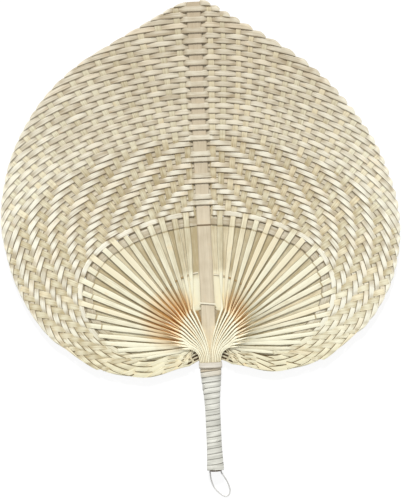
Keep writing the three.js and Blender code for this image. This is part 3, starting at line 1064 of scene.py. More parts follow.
@dataclass
class WeavePlan:
    """How many rows and ribs the blade has, and which of them shows at each crossing."""

    ribs_per_side: int = 40
    first_angle: float = 5.2
    last_angle: float = 106.0
    crowding: float = 0.18
    rows: int = 40
    row_pitch: float = 4.08
    first_offset: float = -2.2
    first_plain_row: int = 15
    weft_swing: float = 0.3
    rib_swing: float = 0.13
    band_inner: float = -9.4
    band_outer: float = -2.9

    def rib_angle(self, index: float) -> float:
        """A rib's angle from the tip's direction, in degrees.

        Args:
            index: Its count outwards from the spine.

        Returns:
            The angle, with the ribs closer together further out.
        """
        share = index / (self.ribs_per_side - 1)
        spread = self.last_angle - self.first_angle
        return self.first_angle + spread * share * (1 + self.crowding * (1 - share))

    def rib_pitch(self, index: float) -> float:
        """The angle between neighbouring ribs, in radians."""
        return math.radians(self.rib_angle(index + 0.5) - self.rib_angle(index - 0.5))

    def offset(self, row: float) -> float:
        """How far a row's middle lies outside the splay's edge."""
        return self.first_offset + (row + 0.5) * self.row_pitch

    def wave(self, rib: float, row: float) -> float:
        """How far the weft stands in front of the blade's plane, from -1 to 1.

        Args:
            rib: The place among the ribs.
            row: The place among the rows.

        Returns:
            1 where the weft is in front and -1 where the rib is.
        """
        if row < 0.5:
            away = abs((rib + 1) % 4 - 2)
            return -1 + 2 * smooth(away, 0.12, 0.88)
        if row < self.first_plain_row - 0.5:
            turn = math.cos(math.pi / 2 * (rib + row - 1.5))
            return turn * (1.35 - 0.35 * turn * turn)
        return -math.cos(math.pi * (rib + row))

    def spine_wave(self, row: int) -> float:
        """1 where a row passes in front of the spine and -1 where it passes behind it."""
        front = row % 4 in (2, 3) if row < self.first_plain_row else row % 2 == 0
        return 1.0 if front else -1.0


@dataclass(frozen=True)
class Rib:
    """One rib's place in the weave, in the splay and in its stave."""

    index: int
    side: Side
    layer: Layer
    line: Line
    palm: Array
    stave: int
    place: int
    tone: float
    bow: float
    fullness: float
    sink: float = 0.8
    sunk_until: float = 0.12

    @property
    def front(self) -> bool:
        """Whether the rib lies in the bright front layer."""
        return self.layer is Layer.FRONT

    @property
    def middle(self) -> bool:
        """Whether the rib is the middle one of three in its layer, which is set back."""
        return self.place % 3 == 1

    @property
    def sunk(self) -> float:
        """How far the rib lies below its neighbours at the palm's rim."""
        return self.sink if self.front and self.middle else 0.0


@dataclass(frozen=True)
class RibLook:
    """How pale the ribs are along their length and how dark their edges are.

    Creams are the values at a part's start and its end or, for the weave, its plain value and what
    the wave adds or takes: painted highlight where a rib lies in front and painted shade where it
    lies behind. Negative paleness is painted shade, as on the darker middle strands, the back and
    sunk ribs, the butt's end and the crease before the band. Dark edges are partly rubbed fibre and
    partly painted shade between strips. A pair named ribs is counts outwards from the spine.
    """

    strand_cream: float = 1.0
    middle_shade_cream: float = -0.32
    butt_creams: Pair = (-1.0, 0.6)
    butt_shade_below: float = -100.0
    butt_strands_above: float = -30.0
    bend_back_shade_cream: float = -0.22
    sunk_shade_cream: float = -0.12
    palm_cream: float = 1.1
    front_cream: float = 0.6
    front_gain: float = 0.42
    front_ribs: Pair = (4.0, 14.0)
    sunk_shade: float = 0.4
    back_shade_creams: Pair = (-0.42, 0.24)
    back_pale: Pair = (0.02, 0.55)
    back_gain: float = 0.5
    back_ribs: Pair = (26.0, 34.0)
    band_shade: float = 1.1
    band_ribs: int = 31
    bright_radius: float = 44.5
    bright_ribs: Pair = (3.0, 6.0)
    bright_cream: float = 1.5
    tone_share: float = 0.3
    splay_edge: float = 1.35
    woven_edge: float = 0.5
    twill_highlight_creams: Pair = (0.14, 0.36)
    plain_lit_creams: Pair = (0.6, 0.24)
    rim_look: Pair = (0.3, 1.0)

    def strand(self, rib: Rib) -> float:
        """How pale a rib's strand of the bundle is: the middle of three is a painted shade line."""
        return self.middle_shade_cream if rib.middle else self.strand_cream

    def butt(self, rib: Rib, y: float) -> float:
        """How pale a rib's straight part is, which starts dark with painted shade.

        Args:
            rib: The rib.
            y: The height.

        Returns:
            The paleness.
        """
        if y > self.butt_strands_above:
            return self.strand(rib)
        return lerp(*self.butt_creams, y > self.butt_shade_below)

    def splay(self, rib: Rib, point: Array, share: float, at_band: bool) -> float:
        """How pale a rib's open part is: back ribs, sunk ribs and the crease get painted shade.

        Args:
            rib: The rib.
            point: The place in the blade's plane.
            share: The share of the way to the first row.
            at_band: Whether the place lies right before the band.

        Returns:
            The paleness.
        """
        if rib.front:
            cream = self.front_cream + self.front_gain * smooth(rib.index, *self.front_ribs)
            cream -= self.sunk_shade * rib.sunk * (1 - smooth(share, 0.0, rib.sunk_until))
            cream -= self.band_shade * (at_band and rib.index < self.band_ribs)
        else:
            cream = lerp(*self.back_shade_creams, smooth(share, *self.back_pale))
            cream += self.back_gain * smooth(rib.index, *self.back_ribs)
        near = 1 - smooth(rib.index, *self.bright_ribs)
        bright = near * (np.linalg.norm(point) < self.bright_radius)
        return max(cream, self.bright_cream * bright) + (rib.tone - 0.5) * self.tone_share


@dataclass(frozen=True)
class RibFill:
    """How much of the room between neighbours the ribs fill in the open part of the blade.

    A pair from, until or end is shares of the way to the first row, and a pair named ribs is counts
    outwards from the spine.
    """

    back_spread: Pair = (2.1, 1.9)
    back_narrow: float = 0.6
    back_end_spread: float = 1.12
    back_end: Pair = (0.88, 1.0)
    front_spread: float = 1.04
    fuller_by: float = 0.3
    fuller_from: Pair = (0.2, 0.5)
    fuller_until: Pair = (0.66, 0.93)
    fuller_gain: float = 0.9
    fuller_ribs: Pair = (28.0, 36.0)

    def spread(self, rib: Rib, share: float) -> float:
        """A rib's width in the open part, as a share of the room between neighbours.

        Args:
            rib: The rib.
            share: The share of the way to the first row.

        Returns:
            The share.
        """
        if not rib.front:
            filled = lerp(*self.back_spread, smooth(share, 0.0, self.back_narrow))
            return lerp(filled, self.back_end_spread, smooth(share, *self.back_end))
        fuller = smooth(share, *self.fuller_from) * (1 - smooth(share, *self.fuller_until))
        fuller *= 1 + self.fuller_gain * smooth(rib.index, *self.fuller_ribs)
        return (self.front_spread + self.fuller_by * fuller) * rib.fullness


@dataclass
class Ribs:
    """The ribs, from the handle's end through the throat and the splay to the rim.

    A cut is one cross-section of a rib: its centre, half width and half thickness as vectors, how
    pale it is and how dark its edges are.
    """

    shop: StripShop
    blade: BladePlan
    weave: WeavePlan
    handle: Handle
    look: RibLook = RibLook()
    fill: RibFill = RibFill()
    staves: int = 3
    first_lean: float = 3.4
    lean_fade: float = 20.0
    angle_spread: float = 0.36
    bow: float = 0.7
    back_bow: float = 0.3
    uneven: float = 0.12
    palm_radius: float = 21.0
    palm_hollow: float = 5.0
    hollow_angles: Pair = (95.0, 128.0)
    palm_first_angle: float = 27.0
    palm_last_angle: float = 124.0
    palm_crowding: float = 0.94
    palm_gather: float = 0.25
    palm_uneven: float = 0.5
    back_inset: float = 2.5
    root: float = -21.0
    root_reach: float = 8.4
    bend_share: float = 0.36
    bend_steps: int = 12
    palm_kink: float = 0.6
    palm_width: float = 2.2
    palm_half: float = 0.7
    palm_back_half: float = 0.25
    strand_start: float = 0.2
    strand_gap: float = 0.7
    strand_round: float = 0.93
    strand_fill: float = 0.52
    butt_past: float = 0.9
    butt_inside: float = 0.5
    butt_end_thickness: float = 3.0
    gather_start: float = -27.0
    butt_places: tuple[float, ...] = (-92.0, -82.0, -70.0, -58.0, -46.0, -34.0, -26.0)
    butt_fill: float = 0.88
    butt_end_fill: float = 0.58
    front_tilt: float = 76.0
    back_tilt: float = 12.0
    flat_share: float = 0.36
    tilt_reach: float = 0.8
    place_drop: float = 0.03
    full_width: float = 4.3
    splay_rise: float = 0.6
    band_rise: float = 0.85
    back_drop: float = -0.62
    splay_shares: tuple[float, ...] = (0.035, 0.07, 0.12, 0.18, 0.26, 0.36, 0.5, 0.65, 0.8)
    band_steps: tuple[float, ...] = (-1.5, -0.75, -0.3, 0.15, 2.2, 4.4)
    beside_spine: float = 7.4
    beside_start: Pair = (12.0, 19.0)
    beside_end: Pair = (84.0, 96.0)
    weave_spread: float = 1.05
    half_thickness: float = 0.2
    rim_inset: float = 0.9
    rim_gap: float = 0.4
    row_step: float = 0.25
    seed: int = 41
    ribs: list[Rib] = field(default_factory=list)

    def __post_init__(self) -> None:
        """Lays out every rib."""
        self.per_layer = self.weave.ribs_per_side // 2
        chance = random.Random(self.seed)
        for side in Side:
            for index in range(self.weave.ribs_per_side):
                self.ribs.append(self._lay_out(side, index, chance))

    def _lay_out(self, side: Side, index: int, chance: random.Random) -> Rib:
        """Places one rib.

        Args:
            side: The rib's side.
            index: Its count outwards from the spine.
            chance: The source of small differences.

        Returns:
            The rib.
        """
        front = index % 2 == 1
        place = index // 2
        angle = self.weave.rib_angle(index) + chance.uniform(-1, 1) * self.angle_spread
        ray = Line(np.zeros(2), heading(angle))
        edge = ray.at(self.blade.row_distance(ray, 0.0))
        lean = self.first_lean * (1 - smooth(index, 0, self.lean_fade))
        share = index / (self.weave.ribs_per_side - 1)
        palm_angle = lerp(self.palm_first_angle, self.palm_last_angle, share**self.palm_crowding)
        if front:
            pitch = (self.palm_last_angle - self.palm_first_angle) * 2 / self.weave.ribs_per_side
            palm_angle += (1 - place % 3) * self.palm_gather * pitch
        radius = self.palm_radius - self.palm_hollow * smooth(palm_angle, *self.hollow_angles)
        radius += chance.uniform(-self.palm_uneven, self.palm_uneven)
        if not front:
            radius -= self.back_inset
        return Rib(
            index=index,
            side=side,
            layer=Layer.FRONT if front else Layer.BACK,
            line=Line(edge, heading(angle - lean)),
            palm=heading(palm_angle) * radius,
            stave=place * self.staves // self.per_layer,
            place=place,
            tone=chance.random(),
            bow=chance.uniform(-1, 1) * self.bow * (1.0 if front else self.back_bow),
            fullness=1 + chance.uniform(-1, 1) * self.uneven,
        )

    def on(self, side: Side) -> list[Rib]:
        """The ribs of one side, outwards from the spine."""
        return [rib for rib in self.ribs if rib.side is side]

    def _width(self, rib: Rib, point: Array, spread: float = 1.0) -> float:
        """A rib's width, which narrows towards the throat.

        Args:
            rib: The rib.
            point: The place along the rib.
            spread: The width as a share of the room between neighbours.

        Returns:
            The width.
        """
        pitch = float(np.linalg.norm(point)) * self.weave.rib_pitch(rib.index)
        width = min(max(pitch * spread, self.palm_width), self.full_width * spread)
        if rib.index == 0:
            y = float(point[1])
            beside = smooth(y, *self.beside_start) * (1 - smooth(y, *self.beside_end))
            width = lerp(width, self.beside_spine, beside)
        return width

    def _cut(
        self,
        rib: Rib,
        point: Array,
        way: Array,
        tilt: float,
        z: float,
        size: Pair,
        look: Pair,
    ) -> Cut:
        """One cross-section of a rib.

        Args:
            rib: The rib.
            point: Its place in the blade's plane.
            way: The rib's direction there.
            tilt: 0 where the rib lies flat and 90 where it stands on edge.
            z: Its height.
            size: Its width and half its thickness.
            look: How pale it is and how dark its edges are.

        Returns:
            The cut.
        """
        turn = math.radians(tilt) * rib.layer.value
        flat = np.array((-way[1], way[0], 0.0))
        up = np.array((0.0, 0.0, 1.0))
        across = (flat * math.cos(turn) + up * math.sin(turn)) * size[0] / 2
        through = (up * math.cos(turn) - flat * math.sin(turn)) * size[1]
        return np.array((point[0], point[1], z)), across, through, *look

    def _strand(self, rib: Rib, y: float, reach: float) -> tuple[Array, float, Pair]:
        """A rib's place in the bundle inside the handle.

        Args:
            rib: The rib.
            y: The height.
            reach: The bundle's half width there.

        Returns:
            Its point, its height off the plane, and its width and half thickness.
        """
        depth = self.handle.core(y)[1]
        share = (rib.place + 0.5) / self.per_layer
        x = self.strand_start + share * (reach - self.strand_start)
        height = depth * math.sqrt(1 - (self.strand_round * x / reach) ** 2)
        z = rib.layer.value * (self.strand_gap + height) / 2
        size = (height - self.strand_gap, self.strand_fill * reach / self.per_layer)
        return np.array((x, y)), z, size

    def _butt(self, rib: Rib) -> list[Cut]:
        """The cuts of the rib's straight part, painted dark as shade just past the handle's end.

        Args:
            rib: The rib.

        Returns:
            The cuts.
        """
        cuts = []
        end = self.handle.end
        for y in (end - self.butt_past, end + self.butt_inside, *self.butt_places, self.root):
            past = y < end
            reach = (self.butt_end_fill if past else self.butt_fill) * self.handle.core(y)[0]
            reach = lerp(reach, self.root_reach, smooth(y, self.gather_start, self.root))
            point, z, (width, half) = self._strand(rib, y, reach)
            size = (width, half * (self.butt_end_thickness if past else 1.0))
            look = (self.look.butt(rib, y), 0.0)
            cuts.append(self._cut(rib, point, np.array((0.0, 1.0)), 90.0, z, size, look))
        return cuts

    def _palm_half(self, rib: Rib) -> float:
        """Half a rib's thickness at the palm's rim."""
        return self.palm_half if rib.front and not rib.middle else self.palm_back_half

    def _bend(self, rib: Rib) -> list[Cut]:
        """The cuts of the rib's curved part, on edge, from the bundle to the palm's rim.

        Args:
            rib: The rib.

        Returns:
            The cuts.
        """
        start, start_z, (start_width, start_half) = self._strand(rib, self.root, self.root_reach)
        out = lerp(unit(rib.palm), unit(rib.palm - start), self.palm_kink)
        reach = self.bend_share * float(np.linalg.norm(start - rib.palm))
        rise = start + np.array((0.0, 1.0)) * reach
        points = bezier(start, rise, rib.palm - out * reach * 0.8, rib.palm, self.bend_steps)
        palm_z = rib.layer.value * (self.splay_rise + self.palm_width / 2) - rib.sunk
        # A sunk rib is darkened with painted shade towards the palm.
        pale = self.look.sunk_shade_cream if rib.sunk else self.look.palm_cream
        cuts = []
        for step in range(1, self.bend_steps + 1):
            share = step / self.bend_steps
            way = unit(points[step] - points[step - 1])
            z = lerp(start_z, palm_z, smooth(share, 0.0, 1.0))
            half = lerp(start_half, self._palm_half(rib), share**1.2)
            size = (lerp(start_width, self.palm_width, share), half)
            tilt = lerp(90.0, self.front_tilt, share)
            cream = lerp(self.look.strand(rib), pale, smooth(share, 0.0, 0.7))
            # Back ribs behind the strands are darkened with painted shade.
            if not rib.front:
                tilt = lerp(90.0, self.back_tilt, smooth(share, 0, 0.7))
                cream = self.look.bend_back_shade_cream
            cuts.append(self._cut(rib, points[step], way, tilt, z, size, (cream, 0.0)))
        return cuts

    def _splay(self, rib: Rib) -> list[Cut]:
        """The cuts of the open part, from the palm's rim over or under the band to the first row.

        Args:
            rib: The rib.

        Returns:
            The cuts.
        """
        path = rib.line.base - rib.palm
        whole = float(np.linalg.norm(path))
        out = path / whole
        band = whole + self.weave.band_inner
        places = [band * share for share in self.splay_shares]
        places += [band + step for step in self.band_steps]
        places += [whole + self.weave.band_outer - 0.4]
        level = self.splay_rise if rib.front else self.back_drop
        over = self.band_rise if rib.front else self.back_drop
        palm_tilt = self.front_tilt if rib.front else self.back_tilt
        cuts = []
        for place in places:
            share = place / whole
            point = rib.palm + out * place
            point = point + aside(out) * rib.bow * math.sin(math.pi * share)
            tilt = palm_tilt * (1 - smooth(share, 0.0, self.flat_share))
            width = self._width(rib, point, self.fill.spread(rib, share))
            tall = width / 2 * math.sin(math.radians(tilt))
            z = lerp(level, over, smooth(place, band - 0.75, band + 0.15))
            z += rib.layer.value * tall * self.tilt_reach - self.place_drop * (rib.place % 3)
            z -= rib.sunk * (1 - smooth(share, 0.0, rib.sunk_until))
            half = lerp(self._palm_half(rib), self.half_thickness, smooth(share, 0.0, 0.16))
            cream = self.look.splay(rib, point, share, band - 0.8 < place < band)
            look = (cream, self.look.splay_edge * smooth(share, 0.12, 0.4))
            cuts.append(self._cut(rib, point, out, tilt, z, (width, half), look))
        return cuts

    def _woven(self, rib: Rib) -> list[Cut]:
        """The cuts of the rib's woven part, from the first row to the rim.

        Args:
            rib: The rib.

        Returns:
            The cuts.
        """
        line = rib.line
        half = aside(line.way) * self.full_width / 2
        edges = [Line(line.base + half * edge, line.way) for edge in (-1, 1)]
        rim = min(self.blade.rim_distance(edge) for edge in edges) - self.rim_inset
        cuts = []
        row = 0.0
        distance = self.blade.row_distance(line, self.weave.offset(row))
        while distance < rim - self.rim_gap:
            point = line.at(distance)
            wave = self.weave.wave(rib.index, row)
            # Painted light: where the rib lies in front it is paler, a highlight in the middle of
            # each twill float; in the plain weave it is darker where it passes behind.
            if row < self.weave.first_plain_row - 1:
                cream = self.look.twill_highlight_creams[0] + self.look.twill_highlight_creams[1] * max(0.0, -wave) ** 3
            else:
                cream = self.look.plain_lit_creams[0] - self.look.plain_lit_creams[1] * wave
            size = (self._width(rib, point, self.weave_spread), self.half_thickness)
            z = -self.weave.rib_swing * wave
            look = (cream, self.look.woven_edge)
            cuts.append(self._cut(rib, point, line.way, 0.0, z, size, look))
            row += self.row_step
            distance = self.blade.row_distance(line, self.weave.offset(row))
        point = line.at(rim)
        size = (self._width(rib, point), self.half_thickness)
        return [*cuts, self._cut(rib, point, line.way, 0.0, 0.0, size, self.look.rim_look)]

    def _run(self, rib: Rib) -> Run:
        """All of a rib's cuts as one run.

        Args:
            rib: The rib.

        Returns:
            The run.
        """
        cuts = [*self._butt(rib), *self._bend(rib), *self._splay(rib), *self._woven(rib)]
        centres, across, through, cream, worn_and_shaded = (np.array(part, dtype=float) for part in zip(*cuts))
        return Run(centres, across, through, cream, rib.tone, worn_and_shaded=worn_and_shaded).on(rib.side)

    def build(self, finish: Material) -> None:
        """Builds every stave with its ribs.

        Args:
            finish: The ribs' material.
        """
        for side in Side:
            for layer in Layer:
                for stave in range(self.staves):
                    own = [rib for rib in self.on(side) if (rib.layer, rib.stave) == (layer, stave)]
                    runs = [self._run(rib) for rib in own]
                    label = f"{side.name.lower()}_{layer.name.lower()}_{stave + 1}"
                    self.shop.piece(f"ribs_{label}", runs, finish, Slot.RIB, [f"stave_{label}"])


@dataclass(frozen=True)
class Station:
    """One cross-section of a row: its edges, height, thickness, colour and share past the rim."""

    inner: Array
    outer: Array
    z: float
    half: float
    cream: float
    cut: float = 0.0

    def flipped(self) -> "Station":
        """The same cross-section on the left."""
        flip = np.array((-1.0, 1.0))
        return replace(self, inner=self.inner * flip, outer=self.outer * flip)


@dataclass(frozen=True)
class TailPlan:
    """The tails of the lowest rows, which run round the lobe to the bundle.

    A fill is a tail's width as a share of its room, and creams are its plain paleness and what the
    wave adds: painted highlight where the tail lies in front and painted shade where it lies
    behind.
    """

    rows: int = 4
    top: float = -11.0
    fill: float = 0.9
    last_fill: float = 1.04
    end_fill: float = 0.52
    end_x: float = 7.6
    swing: float = 0.34
    lit_creams: Pair = (0.95, 0.15)
    lobe_steps: int = 8
    tuck_steps: int = 12
    tuck_shares: Pair = (0.35, 0.55)
    taper_steps: int = 4


@dataclass(frozen=True)
class LowRibPlan:
    """The short ribs that run down through the tails to the rim.

    Distances are along a rib, the pitch is in degrees, and creams are its plain paleness and what
    the wave takes: painted highlight where the rib lies in front and painted shade where it lies
    behind. Its wear darkens one edge as a painted shadow line.
    """

    count: int = 6
    root: Pair = (7.0, -6.0)
    first_angle: float = 110.0
    pitch: float = 5.4
    width: float = 4.3
    start: float = 3.0
    start_width: float = 1.2
    full_at: float = 26.0
    gap: float = 0.8
    swing: float = 0.55
    lit_creams: Pair = (0.75, 0.45)
    end_cream: float = 0.8
    wear_and_shadow: float = 2.0
    steps: int = 40


@dataclass(frozen=True)
class FoldPlan:
    """The folds at the rows' ends, where they are cut by the rim.

    Rise, thicken and pale are the shares of the row past the rim at which each change starts and
    ends; the paler fold is a painted highlight along the rim. The bulge is how far a fold swells
    past the rim.
    """

    step: float = 0.1
    thickness: float = 0.42
    z: float = 0.2
    cream: float = 0.85
    rise: Pair = (0.0, 0.6)
    thicken: Pair = (0.1, 0.7)
    pale: Pair = (0.05, 0.5)
    bulge: tuple[tuple[Side, float], ...] = ((Side.LEFT, 0.6), (Side.RIGHT, 1.9))
    least_swell: float = 0.5
    swell_heights: Pair = (40.0, 110.0)


@dataclass
class Weft:
    """The rows that are woven through the ribs, with their ends folded over at the rim.

    A loose strip is its start, middle and end, its width, its height and how pale it is. Creams
    are a strip's plain paleness and what the weave's wave adds: painted highlight where the strip
    lies in front and painted shade where it lies behind.
    """

    shop: StripShop
    blade: BladePlan
    weave: WeavePlan
    ribs: Ribs
    fold: FoldPlan = FoldPlan()
    tail: TailPlan = TailPlan()
    low: LowRibPlan = LowRibPlan()
    solid_rows: int = 30
    rows_per_piece: int = 4
    solid_rows_per_piece: int = 3
    spine_half: float = 5.25
    spine_gap: float = 0.3
    spine_clear: float = 0.76
    spine_places: tuple[float, ...] = (-4.4, -2.2, 0.0, 2.2, 4.4)
    spine_cream: float = 0.62
    tip_gap: float = 0.4
    half_thickness: float = 0.17
    twill_highlight_creams: Pair = (0.32, 0.66)
    plain_lit_creams: Pair = (0.52, 0.24)
    # How dark the painted shadow lines along the rows' inner edges are in the twill and among the
    # pale tails.
    twill_wear_and_shadow: float = 1.3
    palm_wear_and_shadow: float = 1.0
    edge_share: float = 0.3
    shingle: float = 0.3
    spread: float = 1.09
    lens: float = 0.02
    spine_squeeze: float = 0.12
    least_width: float = 0.35
    row_wander: float = 0.14
    rib_step: float = 0.25
    mottling: float = 0.16
    backing_width: float = 3.6
    backing_z: float = -1.2
    backing_cream: float = -0.25
    backing_shade: float = 0.65
    backing_dark: Pair = (14.0, 28.0)
    thin_half: float = 0.16
    thick_half: float = 0.18
    band_start: float = 2.0
    band_last: float = 33.0
    band_tone: float = 0.6
    band_spine_z: float = -0.95
    band_z: float = -0.04
    band_swing: float = 0.1
    band_cream: float = 0.08
    loose: tuple[tuple[Pair, Pair, Pair, float, float, float], ...] = (
        ((6.0, 10.0), (5.2, 15.0), (6.2, 22.0), 4.6, -2.1, -0.1),
        ((9.0, -8.0), (13.0, -11.0), (21.0, -18.0), 1.5, 0.35, 0.6),
        ((16.0, -9.0), (14.0, -13.0), (12.0, -20.0), 1.4, 0.45, 0.5),
    )
    loose_steps: int = 12
    loose_jitter: float = 0.6
    loose_bend: float = 3.0
    seed: int = 97

    def __post_init__(self) -> None:
        """Seeds the rows' small differences and the tone of each float."""
        self.chance = random.Random(self.seed)
        spread = self.mottling
        columns = self.weave.ribs_per_side + 2
        self.mottle = [
            [self.chance.uniform(-spread, spread) for _ in range(columns)]
            for _ in range(self.weave.rows * 2 + 2)
        ]
        self.tail_lines: list[Array] = []
        self.tail_rim = np.zeros((0, 2))

    def _station(
        self, line: Line, bulge: float, middle: float, wave: float, z: float, cream: float
    ) -> Station | None:
        """A row's cross-section on a line.

        Args:
            line: The line along the ribs.
            bulge: How far the fold swells past the rim.
            middle: How far the row's middle lies outside the splay's edge.
            wave: 1 where the row is in front and -1 where it is behind.
            z: Its height where it isn't cut.
            cream: How pale it is where it isn't cut.

        Returns:
            The cross-section, or nothing where the row lies outside the rim.
        """
        width = self.weave.row_pitch * (self.spread + self.lens * wave)
        inner = self.blade.row_distance(line, middle - width / 2)
        outer = self.blade.row_distance(line, middle + width / 2)
        rim = self.blade.rim_distance(line)
        if not inner < rim - self.least_width:
            return None
        cut = min(1.0, max(0.0, (outer - rim) / (outer - inner)))
        height = float(line.at(rim)[1])
        swell = bulge * lerp(self.fold.least_swell, 1.0, smooth(height, *self.fold.swell_heights))
        outer = min(outer, rim + swell * math.sin(math.pi * min(1.0, cut * 1.05)))
        z = lerp(z, self.fold.z, smooth(cut, *self.fold.rise))
        thicker = smooth(cut, *self.fold.thicken)
        half = lerp(self.half_thickness, self.fold.thickness, thicker)
        # The fold gets paler: a painted highlight along the rim.
        cream = lerp(cream, self.fold.cream, smooth(cut, *self.fold.pale))
        return Station(line.at(inner), line.at(outer), z, half, cream, cut)

    def _half(self, row: int, side: Side, middle: float) -> list[Station]:
        """Half a row's cross-sections, outwards from the spine.

        Args:
            row: The row.
            side: The side.
            middle: How far its middle lies outside the splay's edge.

        Returns:
            The cross-sections.
        """
        lines = [upright(self.spine_half + self.spine_gap)]
        lines += [rib.line for rib in self.ribs.on(side)]
        mottle = self.mottle[row * 2 + (side is Side.LEFT)]
        bulge = dict(self.fold.bulge)[side]
        spine_wave = self.weave.spine_wave(row)
        twill = row < self.weave.first_plain_row
        stations = []
        place = -1.0
        while place <= len(lines) - 2 + 1e-9:
            wave = self.weave.wave(max(place, 0.0), row)
            z = self.weave.weft_swing * wave
            if place < 0:
                share = smooth(place, -1.0, -0.45)
                z = lerp(spine_wave * self.spine_clear, z, share)
                wave = lerp(spine_wave * 0.6, wave, share)
            column = int(math.floor(place + (row % 2))) // 2 + 1
            # Painted light: where the row lies in front it is paler, a highlight in the middle of
            # each twill float; in the plain weave it is darker where it passes behind.
            if twill:
                shade = self.twill_highlight_creams[0] + self.twill_highlight_creams[1] * max(0.0, wave) ** 3
            else:
                shade = self.plain_lit_creams[0] + self.plain_lit_creams[1] * wave
            line = line_at(lines, place)
            station = self._station(line, bulge, middle, wave, z, mottle[column] + shade)
            if station is None:
                break
            stations.append(station)
            place += self.fold.step if station.cut > 0 else self.rib_step
        return stations

    def _tail(self, row: int, last: Station) -> list[Station]:
        """The lowest rows run on round the lobe to the bundle.

        Args:
            row: The row.
            last: The cross-section at the last rib.

        Returns:
            The tail's cross-sections.
        """
        centre = self.blade.side_centre
        room = (self.tail.top - self.blade.tail_bottom) / self.tail.rows
        fill = self.tail.last_fill if row == self.tail.rows - 1 else self.tail.fill
        edges = []
        for edge, begin in enumerate((last.inner, last.outer)):
            drop = self.weave.first_offset + (row + edge * fill) * self.weave.row_pitch
            low_y = centre[1] - self.blade.splay_side_radius - drop
            low = np.array((centre[0], max(low_y, self.blade.lobe_bottom)))
            end_y = self.tail.top - (row + edge * self.tail.end_fill) * room
            reach = (begin[0] - low[0]) / 2
            ahead = begin - aside(unit(begin - centre)) * reach
            turns = [lerp(low[0], self.tail.end_x, share) for share in self.tail.tuck_shares]
            near, far = np.array((turns[0], low[1])), np.array((turns[1], end_y))
            round_low = np.array((low[0] + reach / 2, low[1]))
            lobe = bezier(begin, ahead, round_low, low, self.tail.lobe_steps)
            end = np.array((self.tail.end_x, end_y))
            tuck = bezier(low, near, far, end, self.tail.tuck_steps)
            edges.append([*lobe[1:], *tuck[1:]])
        if len(self.tail_lines) <= row:
            self.tail_lines.append((np.array(edges[0]) + np.array(edges[1])) / 2)
            self.tail_rim = np.array(edges[1])
        stations = []
        for step, (inner, outer) in enumerate(zip(*edges)):
            wave = self._tail_wave((inner + outer) / 2, row)
            z = lerp(last.z, self.tail.swing * wave, smooth(step, 0, 4))
            cream = self.tail.lit_creams[0] + self.tail.lit_creams[1] * wave
            stations.append(Station(inner, outer, z, self.half_thickness, cream))
        return stations

    def _taper(self, last: Station) -> list[Station]:
        """The end of the first row outside the tails, which narrows to a point along the rim.

        Args:
            last: The row's cross-section at the last rib.

        Returns:
            The taper's cross-sections.
        """
        stations = []
        for step, inner in enumerate(self.tail_rim[: self.tail.taper_steps]):
            share = 1 - (step + 1) / (self.tail.taper_steps + 0.2)
            outer = inner + (last.outer - last.inner) * share
            stations.append(Station(inner, outer, lerp(0.2, -0.1, 1 - share), last.half, 1.0))
        return stations

    def _tail_wave(self, point: Array, row: float) -> float:
        """How far a tail stands in front of the low ribs.

        Args:
            point: The place in the blade's plane.
            row: The place among the rows.

        Returns:
            1 where the tail is in front and -1 where a low rib is.
        """
        offset = point - np.array(self.low.root)
        angle = math.degrees(math.atan2(offset[0], offset[1]))
        rib = (angle - self.low.first_angle) / self.low.pitch
        return math.cos(math.pi * (rib + row))

    def _tail_reach(self, line: Line) -> float:
        """How far a line runs before it comes to the outer edge of the last tail.

        Args:
            line: The line.

        Returns:
            The distance along it.
        """
        places = np.arange(self.low.start, self.blade.rim_distance(line), 0.1)
        points = line.base + places[:, None] * line.way
        low = np.interp(-points[:, 0], -self.tail_rim[:, 0], self.tail_rim[:, 1])
        return float(places[points[:, 1] > low + 0.3].max())

    def _low_rib(self, count: int, side: Side) -> Run:
        """A short rib that runs down through the tails to the rim.

        Args:
            count: Its count downwards.
            side: The side of the spine.

        Returns:
            The run.
        """
        way = heading(self.low.first_angle + count * self.low.pitch)
        line = Line(np.array(self.low.root), way)
        across = aside(way)
        half = across * self.low.width / 2
        edges = [Line(line.base + half * edge, way) for edge in (-1, 1)]
        start = self.low.start
        reach = min(self._tail_reach(edge) for edge in edges) - self.low.gap
        stations = []
        for distance in np.linspace(start, reach, self.low.steps):
            point = line.at(distance)
            heights = [np.interp(-point[0], -tail[:, 0], tail[:, 1]) for tail in self.tail_lines]
            row = float(np.interp(-point[1], -np.array(heights), np.arange(len(heights))))
            wave = self._tail_wave(point, row) if point[1] < heights[0] + 2 else 0.6
            share = smooth(distance, start, self.low.full_at)
            half = across * lerp(self.low.start_width, self.low.width, share) / 2
            z = -self.low.swing * wave
            cream = self.low.lit_creams[0] - self.low.lit_creams[1] * wave
            stations.append(Station(point + half, point - half, z, self.thick_half, cream))
        ends = [edge.at(self._tail_reach(edge)) for edge in edges]
        last = Station(ends[1], ends[0], z, self.thick_half, self.low.end_cream)
        return self._to_run([*stations, last], wear_and_shadow=self.low.wear_and_shadow).on(side)

    def _backing(self, side: Side) -> list[Run]:
        """The strips behind the tails, painted dark as shade, which show in the gaps between them.

        Args:
            side: The side of the spine.

        Returns:
            Their runs.
        """
        tails = self.tail_lines
        between = [(near + far) / 2 for near, far in zip(tails[:-1], tails[1:])]
        runs = []
        for line in (tails[0] * 1.5 - tails[1] * 0.5, *between):
            halves = aside(unit_rows(np.gradient(line, axis=0))) * self.backing_width / 2
            stations = []
            for point, half in zip(line, halves):
                # Painted shade, darker towards the bundle.
                dark = 1 - smooth(float(point[0]), *self.backing_dark)
                cream = self.backing_cream - self.backing_shade * dark
                ends = (point - half, point + half)
                stations.append(Station(*ends, self.backing_z, self.thin_half, cream))
            runs.append(self._to_run(stations).on(side))
        return runs

